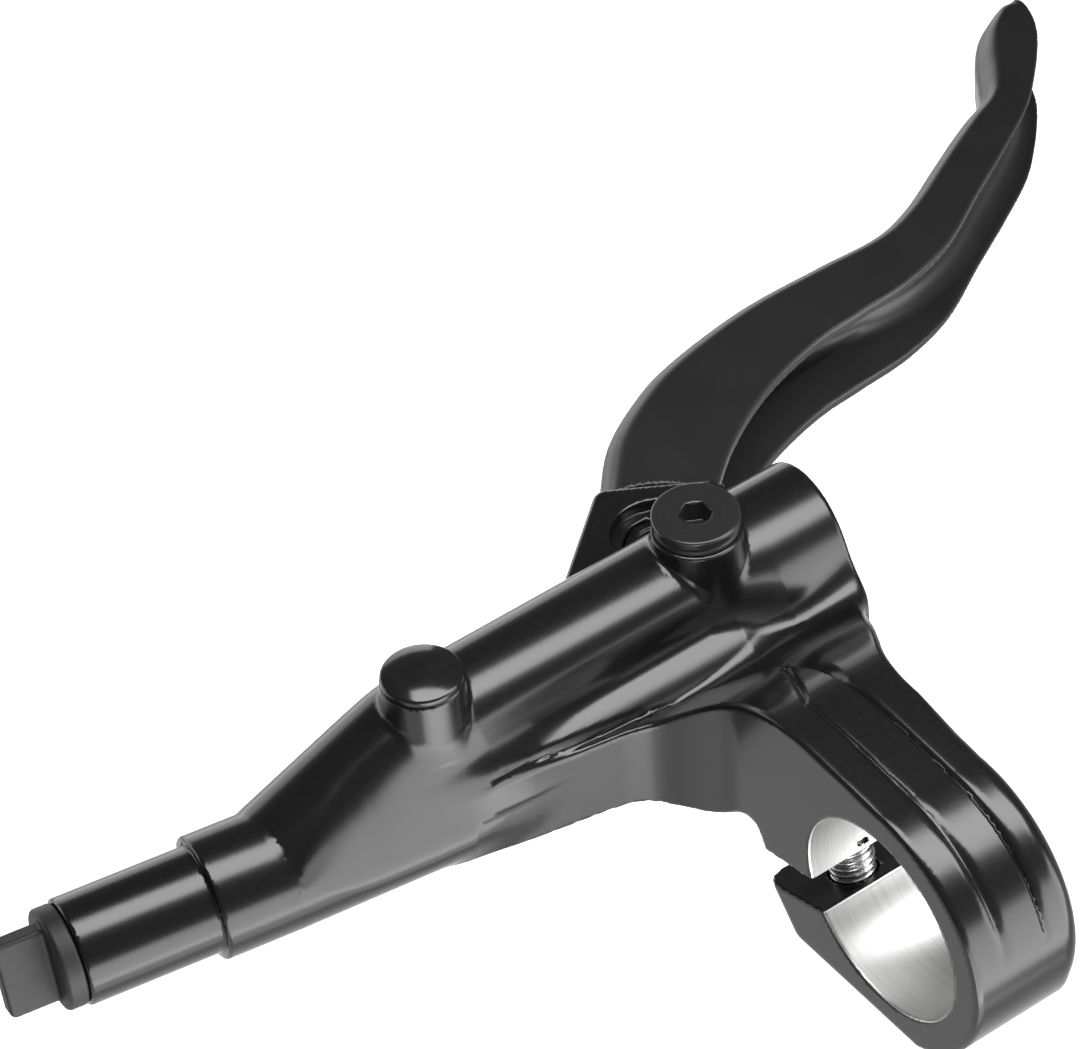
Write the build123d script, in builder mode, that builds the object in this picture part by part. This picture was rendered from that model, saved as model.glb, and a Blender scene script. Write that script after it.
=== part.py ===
from build123d import *
import math
import os

# Right-hand hydraulic brake lever for a flat handlebar, in millimetres.
# The origin is the middle of the clamp bore. X runs outboard along the bar, Y forward, Z up.

os.makedirs("parts", exist_ok=True)

# Clearances
RUN_FIT = 0.05
PRESS_FIT = 0.02
SIDE_GAP = 0.2
FREE_GAP = 0.4

# Handlebar clamp
BAR_D = 22.2
CLAMP_W = 13.5
BAND_WALL = 3.7
BAND_FLAT = 1.0
BORE_EDGE = 0.5
SLIT_GAP = 3.3
SLIT_TILT = 13.0
SLIT_DROP = 2.5
JAW_NOSE = 4.0
JAW_RAKE = 3.7
LIP_RUN = 3.1

# Two grooves in the top of clamp and arm, which mark off a raised plate and a rib along it
GROOVE_W = 0.7
GROOVE_DEPTH = 0.45
GROOVE_LOW = -6.0
PLATE_X = 2.0
PLATE_TURN = 26.0
PLATE_END_X = -3.8
PLATE_END_Y = 30.5
RIB_X = -2.7
RIB_TURN = 15.8
RIB_END_Y = 24.0

# Clamp bolt and washer
BOLT_D = 5.0
BOLT_WALL = 0.5
BOLT_HEAD_D = 8.5
BOLT_HEAD_H = 4.6
BOLT_HEX = 4.0
BOLT_HEX_DEPTH = 2.5
BOLT_GRIP = 3.0
BOLT_REACH = 9.0
BOLT_CLEAR = 0.15
WASHER_T = 0.8

# Arm from the clamp to the two tubes
ARM_RISE = 3.0
ARM_KNEE = 16.2
ARM_KNEE_R = 8.0
ARM_SLOPE = 31.5
ARM_UNDER = 4.5
GUSSET_YAW = 10.1
GUSSET_Y = 29.8
GUSSET_FILLET = 8.0
GUSSET_IN = -50.0
FLARE_Y = 15.0
FLARE_END_Y = 33.2
FLARE_FILLET = 15.0

# Master cylinder tube and reservoir tube, both parallel to the bar
LEVER_Z = 1.1
CYL_Y = 39.4
CYL_OD = 12.4
CYL_BORE = 8.4
CYL_BORE_IN = -37.0
RES_FORWARD = 2.2
RES_RISE = 8.7
RES_OD = 12.0
RES_BORE = 6.8
RES_BORE_IN = -34.0
TUBE_OUT = 17.5
TUBE_IN = -33.0
VALLEY_LENGTH = 16.0
PORT_D = 1.0
TIMING_PORT_X = -28.4
FEED_PORT_X = -16.0

# Hose port, turned forward away from the bar
HOSE_YAW = 9.64
COLLAR_X = -48.5
COLLAR_FORWARD = 3.0
COLLAR_OD = 13.0
COLLAR_LENGTH = 8.3
STUB_OD = 11.2
STUB_LENGTH = 14.2
HOSE_BORE = 7.0
HOSE_BORE_DEPTH = 11.0
HOSE_DRILL = 2.5

# Shipping plug in the hose port
PLUG_DISC_D = 10.6
PLUG_DISC_T = 2.2
PLUG_FIN_T = 2.1
PLUG_FIN_W = 8.4
PLUG_FIN_LENGTH = 5.2
PLUG_FIN_TURN = 15.0
PLUG_SHANK = 8.0

# Bleed screw and port cap on top of the reservoir tube
BOSS_SET_BACK = 1.1
BLEED_X = 2.9
BLEED_BOSS_D = 9.3
BLEED_BOSS_TOP = 7.6
BLEED_HEAD_D = 9.1
BLEED_HEAD_H = 1.2
BLEED_THREAD_D = 5.2
BLEED_SHANK = 3.2
BLEED_HEX = 3.0
BLEED_HEX_DEPTH = 2.4
SEAL_D = 8.8
SEAL_T = 0.8
CAP_X = -30.9
CAP_BOSS_D = 8.5
CAP_BOSS_TOP = 7.9
CAP_D = 8.3
CAP_RIM_T = 1.1
CAP_CROWN = 0.4
CAP_PLUG_D = 5.4
CAP_PLUG_LENGTH = 2.6

# Ears and lever pivot
PIVOT_X = 4.3
PIVOT_REACH = 9.9
EAR_T = 4.0
EAR_NOSE = 9.5
EAR_NOSE_SHIFT = -1.0
EAR_NOSE_R = 1.6
EAR_SHOULDER_X = 9.2
EAR_SHOULDER_Y = 3.0
EAR_SHOULDER_R = 3.0
EAR_ROOT_IN = -16.4
EAR_ROOT_OUT = 11.2
EAR_ROOT_BACK = 3.3
EAR_REAR = 2.0
STOP_REACH = 7.0
SLOT_H = 8.8
SLOT_OPEN = 21.0
PIN_D = 5.0
PIN_HEAD_D = 7.0
PIN_HEAD_T = 1.1
PIN_HEAD_DROP = 1.5
PIN_TAIL = 1.6
POCKET_D = 9.9
POCKET_DEPTH = 1.5
CLIP_D = 7.4
CLIP_T = 0.6
CLIP_GROOVE = 0.6
BUSH_WALL = 0.7
BUSH_FLANGE_D = 8.0
BUSH_FLANGE_T = 0.6
BUSH_LENGTH = 2.8

# Lever blade
BLADE_H = 11.6
FLANGE_T = 1.6
ROOT_D = 9.0
STEP_R = 10.2
PUSH_SWING = 10.0
ARM_H = 6.4
ARM_END = 2.9
BLOCK_BACK = 3.6
BLOCK_FRONT = 0.9
SCREW_D = 4.0
SCREW_LENGTH = 4.2
SCREW_HEX = 2.0
SCREW_HEX_DEPTH = 1.8

# Piston set
PISTON_OUT = -3.35
PISTON_LENGTH = 21.7
PISTON_NOSE_D = 3.8
PISTON_NOSE_L = 2.3
SPOOL_D = 6.0
FRONT_LAND = 3.0
REAR_LAND = 6.6
CUP_T = 2.1
CUP_BASE = 1.1
CUP_LIP = 0.7
RING_GROOVE_D = 5.6
RING_GROOVE_X = 2.9
RING_GROOVE_W = 2.2
CIRCLIP_T = 0.8
CIRCLIP_SINK = 0.5
CIRCLIP_ID = 6.4
CIRCLIP_GAP = 4.0
ROD_D = 3.6
ROD_HEAD_D = 5.6
ROD_HEAD_T = 1.5
ROD_SOCKET = 3.0
SPRING_WIRE = 0.7
SPRING_OD = 6.5
SPRING_TURNS = 5

# Bladder and plug in the outboard end of the reservoir
PLUG_T = 3.4
PLUG_SINK = 0.5
PLUG_HEX = 3.0
PLUG_HEX_DEPTH = 1.8
PLUG_RING_T = 1.2
PLUG_RING_DEPTH = 0.9
BLADDER_D = 5.6
BLADDER_WALL = 0.7
BLADDER_LENGTH = 26.0
BLADDER_LIP_T = 1.0

# Places worked out from the sizes above
bar_r = BAR_D / 2
band_r = bar_r + BAND_WALL
half_w = CLAMP_W / 2
cyl_r = CYL_OD / 2
res_r = RES_OD / 2
bore_r = CYL_BORE / 2
res_bore_r = RES_BORE / 2
res_y = CYL_Y + RES_FORWARD
res_z = LEVER_Z + RES_RISE
boss_y = res_y - BOSS_SET_BACK
bleed_rim = res_z + BLEED_BOSS_TOP
cap_rim = res_z + CAP_BOSS_TOP
pivot_y = CYL_Y + PIVOT_REACH
slot_top = LEVER_Z + SLOT_H / 2
slot_low = LEVER_Z - SLOT_H / 2
ear_top = slot_top + EAR_T
ear_low = slot_low - EAR_T
pin_seat = ear_top - PIN_HEAD_DROP - PIN_HEAD_T
blade_low = LEVER_Z - BLADE_H / 2
root_h = SLOT_H - 2 * SIDE_GAP - 2 * BUSH_FLANGE_T
root_low = LEVER_Z - root_h / 2
root_top = LEVER_Z + root_h / 2
bush_r = PIN_D / 2 + RUN_FIT + BUSH_WALL
swing = math.radians(PUSH_SWING)
push_r = PIVOT_REACH / math.cos(swing)
tip_x = PIVOT_X + PIVOT_REACH * math.tan(swing)
rod_face = tip_x - SCREW_D / 2 - 2 * RUN_FIT
block_r = math.hypot(push_r + ARM_END, BLOCK_BACK)
chamber_in = PIVOT_X - (tip_x - PIVOT_X) - BLOCK_FRONT - ARM_END * math.sin(swing) - FREE_GAP
chamber_out = tip_x + BLOCK_BACK + ARM_END * math.sin(swing) + FREE_GAP
chamber_rear = pivot_y - block_r - FREE_GAP
piston_nose = PISTON_OUT - PISTON_LENGTH
circlip_x = PISTON_OUT + 3 * RUN_FIT
plug_in = TUBE_OUT - PLUG_SINK - PLUG_T
tilt = math.radians(SLIT_TILT)
bolt_off = bar_r + BOLT_D / 2 + BOLT_WALL
jaw_low = -band_r + BAND_FLAT


def slit_point(along, up):
    """Point in the side view, measured along the slit and square to it from the bore centre."""
    return (
        along * math.cos(tilt) + up * math.sin(tilt),
        up * math.cos(tilt) - along * math.sin(tilt),
    )


def from_pivot(out, forward):
    """Point in the plan view, measured from the lever pivot."""
    return (PIVOT_X + out, pivot_y + forward)


def along_bar(x):
    """Plane square to the bar at x, looking outboard."""
    return Plane.YZ.offset(x)


def hose_plane(distance):
    """Plane square to the hose port, a distance out from the start of the collar."""
    yaw = math.radians(HOSE_YAW)
    out = (-math.cos(yaw), math.sin(yaw), 0)
    start = (COLLAR_X, CYL_Y + COLLAR_FORWARD, LEVER_Z)
    origin = tuple(s + distance * d for s, d in zip(start, out))
    return Plane(origin=origin, x_dir=(0, 0, 1), z_dir=out)


def bolt_plane(distance):
    """Plane square to the clamp bolt, a distance above the foot of the bore centre."""
    y, z = slit_point(bolt_off, distance)
    return Plane(origin=(0, y, z), x_dir=(1, 0, 0), z_dir=(0, math.sin(tilt), math.cos(tilt)))


def screw_plane(distance):
    """Plane square to the reach screw, a distance ahead of the middle of its round tip."""
    ahead = (-math.cos(swing), -math.sin(swing), 0)
    middle = (tip_x, CYL_Y, LEVER_Z)
    origin = tuple(m + distance * a for m, a in zip(middle, ahead))
    return Plane(origin=origin, x_dir=(0, 0, 1), z_dir=ahead)


# Seat of the bolt head, high enough that the washer lies inside the jaw
lip_low = slit_point(bolt_off + JAW_NOSE, -SLIT_DROP - SLIT_GAP / 2)
lip_top = slit_point(bolt_off + JAW_NOSE, -SLIT_DROP + SLIT_GAP / 2)
bolt_seat = -SLIT_DROP - SLIT_GAP / 2 - BOLT_GRIP
under_z = LEVER_Z - ARM_UNDER
rise = math.radians(ARM_RISE)
band_top = (-band_r * math.sin(rise), band_r * math.cos(rise))
knee = (ARM_KNEE, band_top[1] + (ARM_KNEE - band_top[0]) * math.tan(rise))
slope_end = (CYL_Y, knee[1] - (CYL_Y - ARM_KNEE) * math.tan(math.radians(ARM_SLOPE)))
flat_rear = -math.sqrt(band_r**2 - jaw_low**2)

# Side view of clamp band, lower jaw and arm in one outline
with BuildSketch(Plane.YZ) as side_view:
    with BuildLine():
        ThreePointArc((flat_rear, jaw_low), (-band_r, 0), band_top)
        Polyline(
            band_top,
            knee,
            slope_end,
            (CYL_Y, under_z),
            (lip_top[0] + LIP_RUN, under_z),
            lip_top,
            lip_low,
            (lip_low[0] - JAW_RAKE, jaw_low),
            (flat_rear, jaw_low),
        )
    make_face()
    fillet(side_view.vertices().sort_by_distance(Vector(*knee))[0], ARM_KNEE_R)

# Skin of that outline, the depth of the grooves
with BuildSketch(Plane.YZ) as groove_skin:
    add(side_view.sketch)
    offset(side_view.sketch, amount=-GROOVE_DEPTH, mode=Mode.SUBTRACT)

# Plan of the grooves, which run together at the front
with BuildSketch(Plane.XY.offset(GROOVE_LOW)) as groove_plan:
    for run in (
        ((PLATE_X, -2 * band_r), (PLATE_X, PLATE_TURN), (PLATE_END_X, PLATE_END_Y)),
        ((RIB_X, -2 * band_r), (RIB_X, RIB_TURN), (PLATE_X, RIB_END_Y)),
    ):
        with BuildLine() as groove_run:
            Polyline(*run)
        trace(groove_run.line, line_width=GROOVE_W)

with BuildPart() as groove_cut:
    extrude(groove_skin.sketch, amount=CLAMP_W, both=True)
    extrude(groove_plan.sketch, amount=3 * band_r, mode=Mode.INTERSECT)

# Plan of the arm, with the gusset to the hose port and the flare to the outboard end
with BuildSketch(Plane.XY.offset(-2 * band_r)) as arm_plan:
    gusset_run = (-half_w - GUSSET_IN) * math.tan(math.radians(GUSSET_YAW))
    with BuildLine():
        Polyline(
            (-half_w, -2 * band_r),
            (-half_w, GUSSET_Y),
            (GUSSET_IN, GUSSET_Y + gusset_run),
            (GUSSET_IN, CYL_Y + COLLAR_FORWARD),
            (TUBE_IN, CYL_Y),
            (TUBE_OUT, CYL_Y),
            (TUBE_OUT, FLARE_END_Y),
            (half_w, FLARE_Y),
            (half_w, -2 * band_r),
            close=True,
        )
    make_face()
    corners = arm_plan.vertices()
    fillet(corners.sort_by_distance(Vector(-half_w, GUSSET_Y))[0], GUSSET_FILLET)
    corners = arm_plan.vertices()
    fillet(corners.sort_by_distance(Vector(half_w, FLARE_Y))[0], FLARE_FILLET)

# Plan of the ears
with BuildSketch(Plane.XY.offset(ear_low)) as ear_plan:
    nose = from_pivot(EAR_NOSE_SHIFT, EAR_NOSE)
    shoulder = from_pivot(EAR_SHOULDER_X, EAR_SHOULDER_Y)
    with BuildLine():
        Polyline(
            from_pivot(EAR_ROOT_IN, -EAR_ROOT_BACK),
            nose,
            shoulder,
            from_pivot(EAR_ROOT_OUT, -EAR_ROOT_BACK),
            (PIVOT_X + EAR_ROOT_OUT, CYL_Y + EAR_REAR),
            (PIVOT_X + EAR_ROOT_IN, CYL_Y + EAR_REAR),
            close=True,
        )
    make_face()
    corners = ear_plan.vertices()
    fillet(corners.sort_by_distance(Vector(*nose))[0], EAR_NOSE_R)
    corners = ear_plan.vertices()
    fillet(corners.sort_by_distance(Vector(*shoulder))[0], EAR_SHOULDER_R)

# Plan of the blade root, and of the slot that gives it room to swing
root_edge = ((-4.3, 1.3), (1.0, 12.4), (8.0, 14.0), (13.0, 6.0), (2.2, -3.9))
with BuildSketch(Plane.XY.offset(root_low)) as root_plan:
    with BuildLine():
        Polyline(*[from_pivot(*p) for p in root_edge], close=True)
    make_face()
    with Locations(from_pivot(0, 0)):
        Circle(ROOT_D / 2)

with BuildSketch(Plane.XY.offset(slot_low)) as slot_plan:
    slot_r = ROOT_D / 2 + FREE_GAP
    opening = math.radians(SLOT_OPEN)
    far = 4 * STEP_R
    rear_start = (slot_r * math.sin(opening), -slot_r * math.cos(opening))
    rear_end = (rear_start[0] + far * math.cos(opening), rear_start[1] + far * math.sin(opening))
    lean = math.atan2(root_edge[1][0] - root_edge[0][0], root_edge[1][1] - root_edge[0][1])
    left_start = (-slot_r * math.cos(lean), slot_r * math.sin(lean))
    left_run = (STOP_REACH - left_start[1]) * math.tan(lean)
    with BuildLine():
        Polyline(
            from_pivot(*left_start),
            from_pivot(left_start[0] + left_run, STOP_REACH),
            from_pivot(-far, STOP_REACH),
            from_pivot(-far, far),
            from_pivot(*rear_end),
            from_pivot(*rear_start),
            close=True,
        )
    make_face()
    with Locations(from_pivot(0, 0)):
        Circle(slot_r)

# Body: one aluminium forging with machined bores
with BuildPart() as lever_body:
    extrude(side_view.sketch, amount=-GUSSET_IN, both=True)
    extrude(arm_plan.sketch, amount=4 * band_r, mode=Mode.INTERSECT)
    add(groove_cut.part, mode=Mode.SUBTRACT)

    # Ears, with the wide pocket in the upper one
    extrude(ear_plan.sketch, amount=ear_top - ear_low)
    with BuildSketch(Plane.XY.offset(ear_top)):
        with Locations(from_pivot(0, 0)):
            Circle(POCKET_D / 2)
    extrude(amount=-POCKET_DEPTH, mode=Mode.SUBTRACT)

    # Two tubes, the closed valley at their outboard end, and the blend to the hose collar
    for y, z, r in ((CYL_Y, LEVER_Z, cyl_r), (res_y, res_z, res_r)):
        with BuildSketch(along_bar(TUBE_IN)):
            with Locations((y, z)):
                Circle(r)
        extrude(amount=TUBE_OUT - TUBE_IN)
        with BuildSketch(along_bar(TUBE_IN)):
            with Locations((y, z)):
                Circle(r)
        with BuildSketch(hose_plane(0)):
            Circle(COLLAR_OD / 2)
        loft()
    axis_turn = math.atan2(RES_RISE, RES_FORWARD)
    pair = math.hypot(RES_RISE, RES_FORWARD)
    spread = math.acos((cyl_r - res_r) / pair)
    for x, share in ((TUBE_OUT - VALLEY_LENGTH, 0.5), (TUBE_OUT, 1.0)):
        with BuildSketch(along_bar(x)):
            with BuildLine():
                Polyline(
                    *[
                        (y + share * r * math.cos(axis_turn + s), z + share * r * math.sin(axis_turn + s))
                        for y, z, r, s in (
                            (CYL_Y, LEVER_Z, cyl_r, spread),
                            (res_y, res_z, res_r, spread),
                            (res_y, res_z, res_r, -spread),
                            (CYL_Y, LEVER_Z, cyl_r, -spread),
                        )
                    ],
                    close=True,
                )
            make_face()
    loft(ruled=True)
    with BuildSketch(hose_plane(0)):
        Circle(COLLAR_OD / 2)
    extrude(amount=COLLAR_LENGTH)
    with BuildSketch(hose_plane(COLLAR_LENGTH)):
        Circle(STUB_OD / 2)
    extrude(amount=STUB_LENGTH)

    # Bosses on the reservoir, and the slot for the blade root
    for x, d, top in ((BLEED_X, BLEED_BOSS_D, bleed_rim), (CAP_X, CAP_BOSS_D, cap_rim)):
        with BuildSketch(Plane.XY.offset(res_z)):
            with Locations((x, boss_y)):
                Circle(d / 2)
        extrude(amount=top - res_z)
    extrude(slot_plan.sketch, amount=SLOT_H, mode=Mode.SUBTRACT)

    # Bar bore with broken edges, slit and bolt hole
    with BuildSketch(along_bar(-half_w)):
        Circle(bar_r)
    extrude(amount=CLAMP_W, mode=Mode.SUBTRACT)
    for x, face in ((-half_w, 1), (half_w, -1)):
        with BuildSketch(along_bar(x)):
            Circle(bar_r + BORE_EDGE)
        with BuildSketch(along_bar(x + face * BORE_EDGE)):
            Circle(bar_r)
        loft(mode=Mode.SUBTRACT)
    with BuildSketch(along_bar(-half_w)):
        with BuildLine():
            Polyline(
                slit_point(0, -SLIT_DROP - SLIT_GAP / 2),
                slit_point(3 * band_r, -SLIT_DROP - SLIT_GAP / 2),
                slit_point(3 * band_r, -SLIT_DROP + SLIT_GAP / 2),
                slit_point(0, -SLIT_DROP + SLIT_GAP / 2),
                close=True,
            )
        make_face()
    extrude(amount=CLAMP_W, mode=Mode.SUBTRACT)
    with BuildSketch(bolt_plane(-SLIT_DROP)):
        Circle(BOLT_D / 2 + PRESS_FIT)
    extrude(amount=BOLT_REACH + FREE_GAP, mode=Mode.SUBTRACT)
    with BuildSketch(bolt_plane(-SLIT_DROP)):
        Circle(BOLT_D / 2 + BOLT_CLEAR)
    extrude(amount=-band_r, mode=Mode.SUBTRACT)
    with BuildSketch(bolt_plane(bolt_seat)):
        Circle(BOLT_HEAD_D / 2 + BOLT_CLEAR)
    extrude(amount=-band_r, mode=Mode.SUBTRACT)

    # Cylinder bore, circlip groove, cam chamber, reservoir bore and the ports between them
    with BuildSketch(along_bar(CYL_BORE_IN)):
        with Locations((CYL_Y, LEVER_Z)):
            Circle(bore_r)
    extrude(amount=TUBE_OUT - CYL_BORE_IN, mode=Mode.SUBTRACT)
    with BuildSketch(along_bar(circlip_x - RUN_FIT)):
        with Locations((CYL_Y, LEVER_Z)):
            Circle(bore_r + CIRCLIP_SINK)
    extrude(amount=CIRCLIP_T + 2 * RUN_FIT, mode=Mode.SUBTRACT)
    with BuildSketch(Plane.XY.offset(LEVER_Z - ARM_H / 2 - FREE_GAP)):
        with BuildLine():
            Polyline(
                (chamber_in, chamber_rear),
                (chamber_out, chamber_rear),
                (chamber_out, pivot_y),
                (chamber_in, pivot_y),
                close=True,
            )
        make_face()
    extrude(amount=ARM_H + 2 * FREE_GAP, mode=Mode.SUBTRACT)
    with BuildSketch(along_bar(RES_BORE_IN)):
        with Locations((res_y, res_z)):
            Circle(res_bore_r)
    extrude(amount=TUBE_OUT - RES_BORE_IN, mode=Mode.SUBTRACT)
    for x in (TIMING_PORT_X, FEED_PORT_X):
        port = Plane(origin=(x, CYL_Y, LEVER_Z), x_dir=(1, 0, 0), z_dir=(0, RES_FORWARD, RES_RISE))
        with BuildSketch(port):
            Circle(PORT_D / 2)
        extrude(amount=pair, mode=Mode.SUBTRACT)

    # Hose port and its drilling, boss holes, pin holes and the seat of the pin head
    with BuildSketch(hose_plane(COLLAR_LENGTH + STUB_LENGTH)):
        Circle(HOSE_BORE / 2)
    extrude(amount=-HOSE_BORE_DEPTH, mode=Mode.SUBTRACT)
    with BuildSketch(hose_plane(COLLAR_LENGTH)):
        Circle(HOSE_DRILL / 2)
    extrude(amount=-(COLLAR_LENGTH + CYL_BORE_IN - COLLAR_X + HOSE_DRILL), mode=Mode.SUBTRACT)
    for x, d, top in ((BLEED_X, BLEED_THREAD_D, bleed_rim), (CAP_X, CAP_PLUG_D, cap_rim)):
        with BuildSketch(Plane.XY.offset(res_z)):
            with Locations((x, boss_y)):
                Circle(d / 2 + PRESS_FIT)
        extrude(amount=top - res_z, mode=Mode.SUBTRACT)
    with BuildSketch(Plane.XY.offset(ear_low)):
        with Locations(from_pivot(0, 0)):
            Circle(PIN_D / 2 + PRESS_FIT)
    extrude(amount=ear_top - ear_low, mode=Mode.SUBTRACT)
    with BuildSketch(Plane.XY.offset(pin_seat)):
        with Locations(from_pivot(0, 0)):
            Circle(PIN_HEAD_D / 2 + SIDE_GAP)
    extrude(amount=bleed_rim - pin_seat, mode=Mode.SUBTRACT)

# Blade: a forged aluminium channel, open to the rear as far as its hooked tip
front_run = ((-1.6, 9.2), (6.6, 18.1), (17.7, 23.8), (30.1, 26.1), (49.4, 26.1), (61.9, 31.4), (73.0, 37.0))
lobe_run = ((78.6, 43.7), (85.5, 48.3), (87.6, 46.4), (84.7, 39.7), (76.3, 31.7))
rear_run = ((62.3, 23.3), (46.1, 16.3), (32.7, 15.3), (16.0, 8.2), (8.0, 2.0))
floor_run = (
    (4.0, 4.5),
    (15.7, 17.2),
    (25.7, 21.7),
    (35.7, 22.7),
    (46.7, 20.6),
    (58.7, 24.5),
    (71.7, 31.9),
    (81.2, 39.5),
    (84.5, 43.9),
)
screw_seat = screw_plane(-BLOCK_BACK)
with BuildPart() as lever_blade:
    with BuildSketch(Plane.XY.offset(blade_low)):
        with BuildLine():
            Spline(*[from_pivot(*p) for p in (*front_run, *lobe_run)])
            Spline(*[from_pivot(*p) for p in (lobe_run[-1], *rear_run)])
            Line(from_pivot(*rear_run[-1]), from_pivot(*front_run[0]))
        make_face()
    extrude(amount=BLADE_H)
    with BuildSketch(Plane.XY.offset(blade_low + FLANGE_T)):
        with BuildLine():
            Spline(*[from_pivot(*p) for p in floor_run])
            Polyline(
                from_pivot(*floor_run[-1]),
                from_pivot(floor_run[-1][0] + STEP_R, floor_run[0][1]),
                from_pivot(floor_run[-1][0], -STEP_R),
                from_pivot(*floor_run[0]),
            )
        make_face()
    extrude(amount=BLADE_H - 2 * FLANGE_T, mode=Mode.SUBTRACT)
    with BuildSketch(Plane.XY.offset(blade_low)):
        with Locations(from_pivot(0, 0)):
            Circle(STEP_R)
    extrude(amount=BLADE_H, mode=Mode.SUBTRACT)
    extrude(root_plan.sketch, amount=root_h)
    with BuildSketch(screw_seat):
        with Locations((0, (push_r - ARM_END) / 2)):
            Rectangle(ARM_H, push_r + ARM_END)
    extrude(amount=BLOCK_BACK + BLOCK_FRONT)
    with BuildSketch(Plane.XY.offset(root_low)):
        with Locations(from_pivot(0, 0)):
            Circle(bush_r + PRESS_FIT)
    extrude(amount=root_h, mode=Mode.SUBTRACT)
    with BuildSketch(screw_seat):
        Circle(SCREW_D / 2 + PRESS_FIT)
    extrude(amount=BLOCK_BACK + BLOCK_FRONT, mode=Mode.SUBTRACT)

lever_body.part.label = "lever_body"
lever_blade.part.label = "lever_blade"

# Pivot pin: turned steel, with a flat head in the pocket of the upper ear
with BuildPart() as pivot_pin:
    with BuildSketch(Plane.XY.offset(ear_low - PIN_TAIL)):
        with Locations(from_pivot(0, 0)):
            Circle(PIN_D / 2)
    extrude(amount=pin_seat - ear_low + PIN_TAIL)
    with BuildSketch(Plane.XY.offset(pin_seat)):
        with Locations(from_pivot(0, 0)):
            Circle(PIN_HEAD_D / 2)
    extrude(amount=PIN_HEAD_T)
    with BuildSketch(Plane.XY.offset(ear_low - RUN_FIT)):
        with Locations(from_pivot(0, 0)):
            Circle(PIN_D / 2)
            Circle(PIN_D / 2 - CLIP_GROOVE, mode=Mode.SUBTRACT)
    extrude(amount=-CLIP_T - RUN_FIT, mode=Mode.SUBTRACT)
pivot_pin.part.label = "pivot_pin"

# Spring-steel clip in the groove under the lower ear
with BuildPart() as pivot_clip:
    with BuildSketch(Plane.XY.offset(ear_low - RUN_FIT)):
        with Locations(from_pivot(0, 0)):
            Circle(CLIP_D / 2)
            Circle(PIN_D / 2 - CLIP_GROOVE + PRESS_FIT, mode=Mode.SUBTRACT)
        with Locations(from_pivot(0, -CLIP_D / 2)):
            Rectangle(PIN_D - 2 * CLIP_GROOVE, CLIP_D, mode=Mode.SUBTRACT)
    extrude(amount=-CLIP_T)
pivot_clip.part.label = "pivot_clip"


def flanged_bush(face, into):
    """Bronze bush pressed into the blade root from one face, its flange outside."""
    with BuildPart() as bush:
        with BuildSketch(Plane.XY.offset(face)):
            with Locations(from_pivot(0, 0)):
                Circle(bush_r)
                Circle(PIN_D / 2 + RUN_FIT, mode=Mode.SUBTRACT)
        extrude(amount=into * BUSH_LENGTH)
        with BuildSketch(Plane.XY.offset(face)):
            with Locations(from_pivot(0, 0)):
                Circle(BUSH_FLANGE_D / 2)
                Circle(PIN_D / 2 + RUN_FIT, mode=Mode.SUBTRACT)
        extrude(amount=-into * BUSH_FLANGE_T)
    return bush.part


pivot_bush_upper = flanged_bush(root_top, -1)
pivot_bush_upper.label = "pivot_bush_upper"
pivot_bush_lower = flanged_bush(root_low, 1)
pivot_bush_lower.label = "pivot_bush_lower"

# Reach screw: a grub screw with a round nose that pushes the push rod
with BuildPart() as reach_screw:
    with BuildSketch(screw_plane(-SCREW_LENGTH)):
        Circle(SCREW_D / 2)
    extrude(amount=SCREW_LENGTH)
    with Locations((tip_x, CYL_Y, LEVER_Z)):
        Sphere(SCREW_D / 2)
    with BuildSketch(screw_plane(-SCREW_LENGTH)):
        RegularPolygon(SCREW_HEX / 2, 6, major_radius=False)
    extrude(amount=SCREW_HEX_DEPTH, mode=Mode.SUBTRACT)
reach_screw.part.label = "reach_screw"


def cylinder_turning(outline):
    """Turned piece on the cylinder axis from an outline of (x, radius) points."""
    on_axis = Plane(origin=(0, CYL_Y, LEVER_Z), x_dir=(1, 0, 0), z_dir=(0, 0, 1))
    with BuildPart() as turned:
        with BuildSketch(on_axis):
            with BuildLine():
                Polyline(*outline, close=True)
            make_face()
        revolve(axis=Axis((0, CYL_Y, LEVER_Z), (1, 0, 0)))
    return turned.part


# Push rod: steel rod with a flat head, its round end loose in the piston socket
rod_end = PISTON_OUT - ROD_SOCKET
with BuildPart() as push_rod:
    add(
        cylinder_turning(
            (
                (rod_end + ROD_D / 2, 0),
                (rod_end + ROD_D / 2, ROD_D / 2),
                (rod_face - ROD_HEAD_T, ROD_D / 2),
                (rod_face - ROD_HEAD_T, ROD_HEAD_D / 2),
                (rod_face, ROD_HEAD_D / 2),
                (rod_face, 0),
            )
        )
    )
    with Locations((rod_end + ROD_D / 2, CYL_Y, LEVER_Z)):
        Sphere(ROD_D / 2)
push_rod.part.label = "push_rod"

# Piston: turned aluminium spool with a nose for the primary cup and a groove for the secondary
land_r = bore_r - RUN_FIT
groove_out = PISTON_OUT - RING_GROOVE_X
master_piston = cylinder_turning(
    (
        (PISTON_OUT, ROD_D / 2 + RUN_FIT),
        (PISTON_OUT, land_r),
        (groove_out, land_r),
        (groove_out, RING_GROOVE_D / 2),
        (groove_out - RING_GROOVE_W, RING_GROOVE_D / 2),
        (groove_out - RING_GROOVE_W, land_r),
        (PISTON_OUT - REAR_LAND, land_r),
        (PISTON_OUT - REAR_LAND, SPOOL_D / 2),
        (piston_nose + FRONT_LAND, SPOOL_D / 2),
        (piston_nose + FRONT_LAND, land_r),
        (piston_nose, land_r),
        (piston_nose, PISTON_NOSE_D / 2),
        (piston_nose - PISTON_NOSE_L, PISTON_NOSE_D / 2),
        (piston_nose - PISTON_NOSE_L, 0),
        (rod_end - RUN_FIT, 0),
        (rod_end - RUN_FIT, ROD_D / 2 + RUN_FIT),
    )
)
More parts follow.
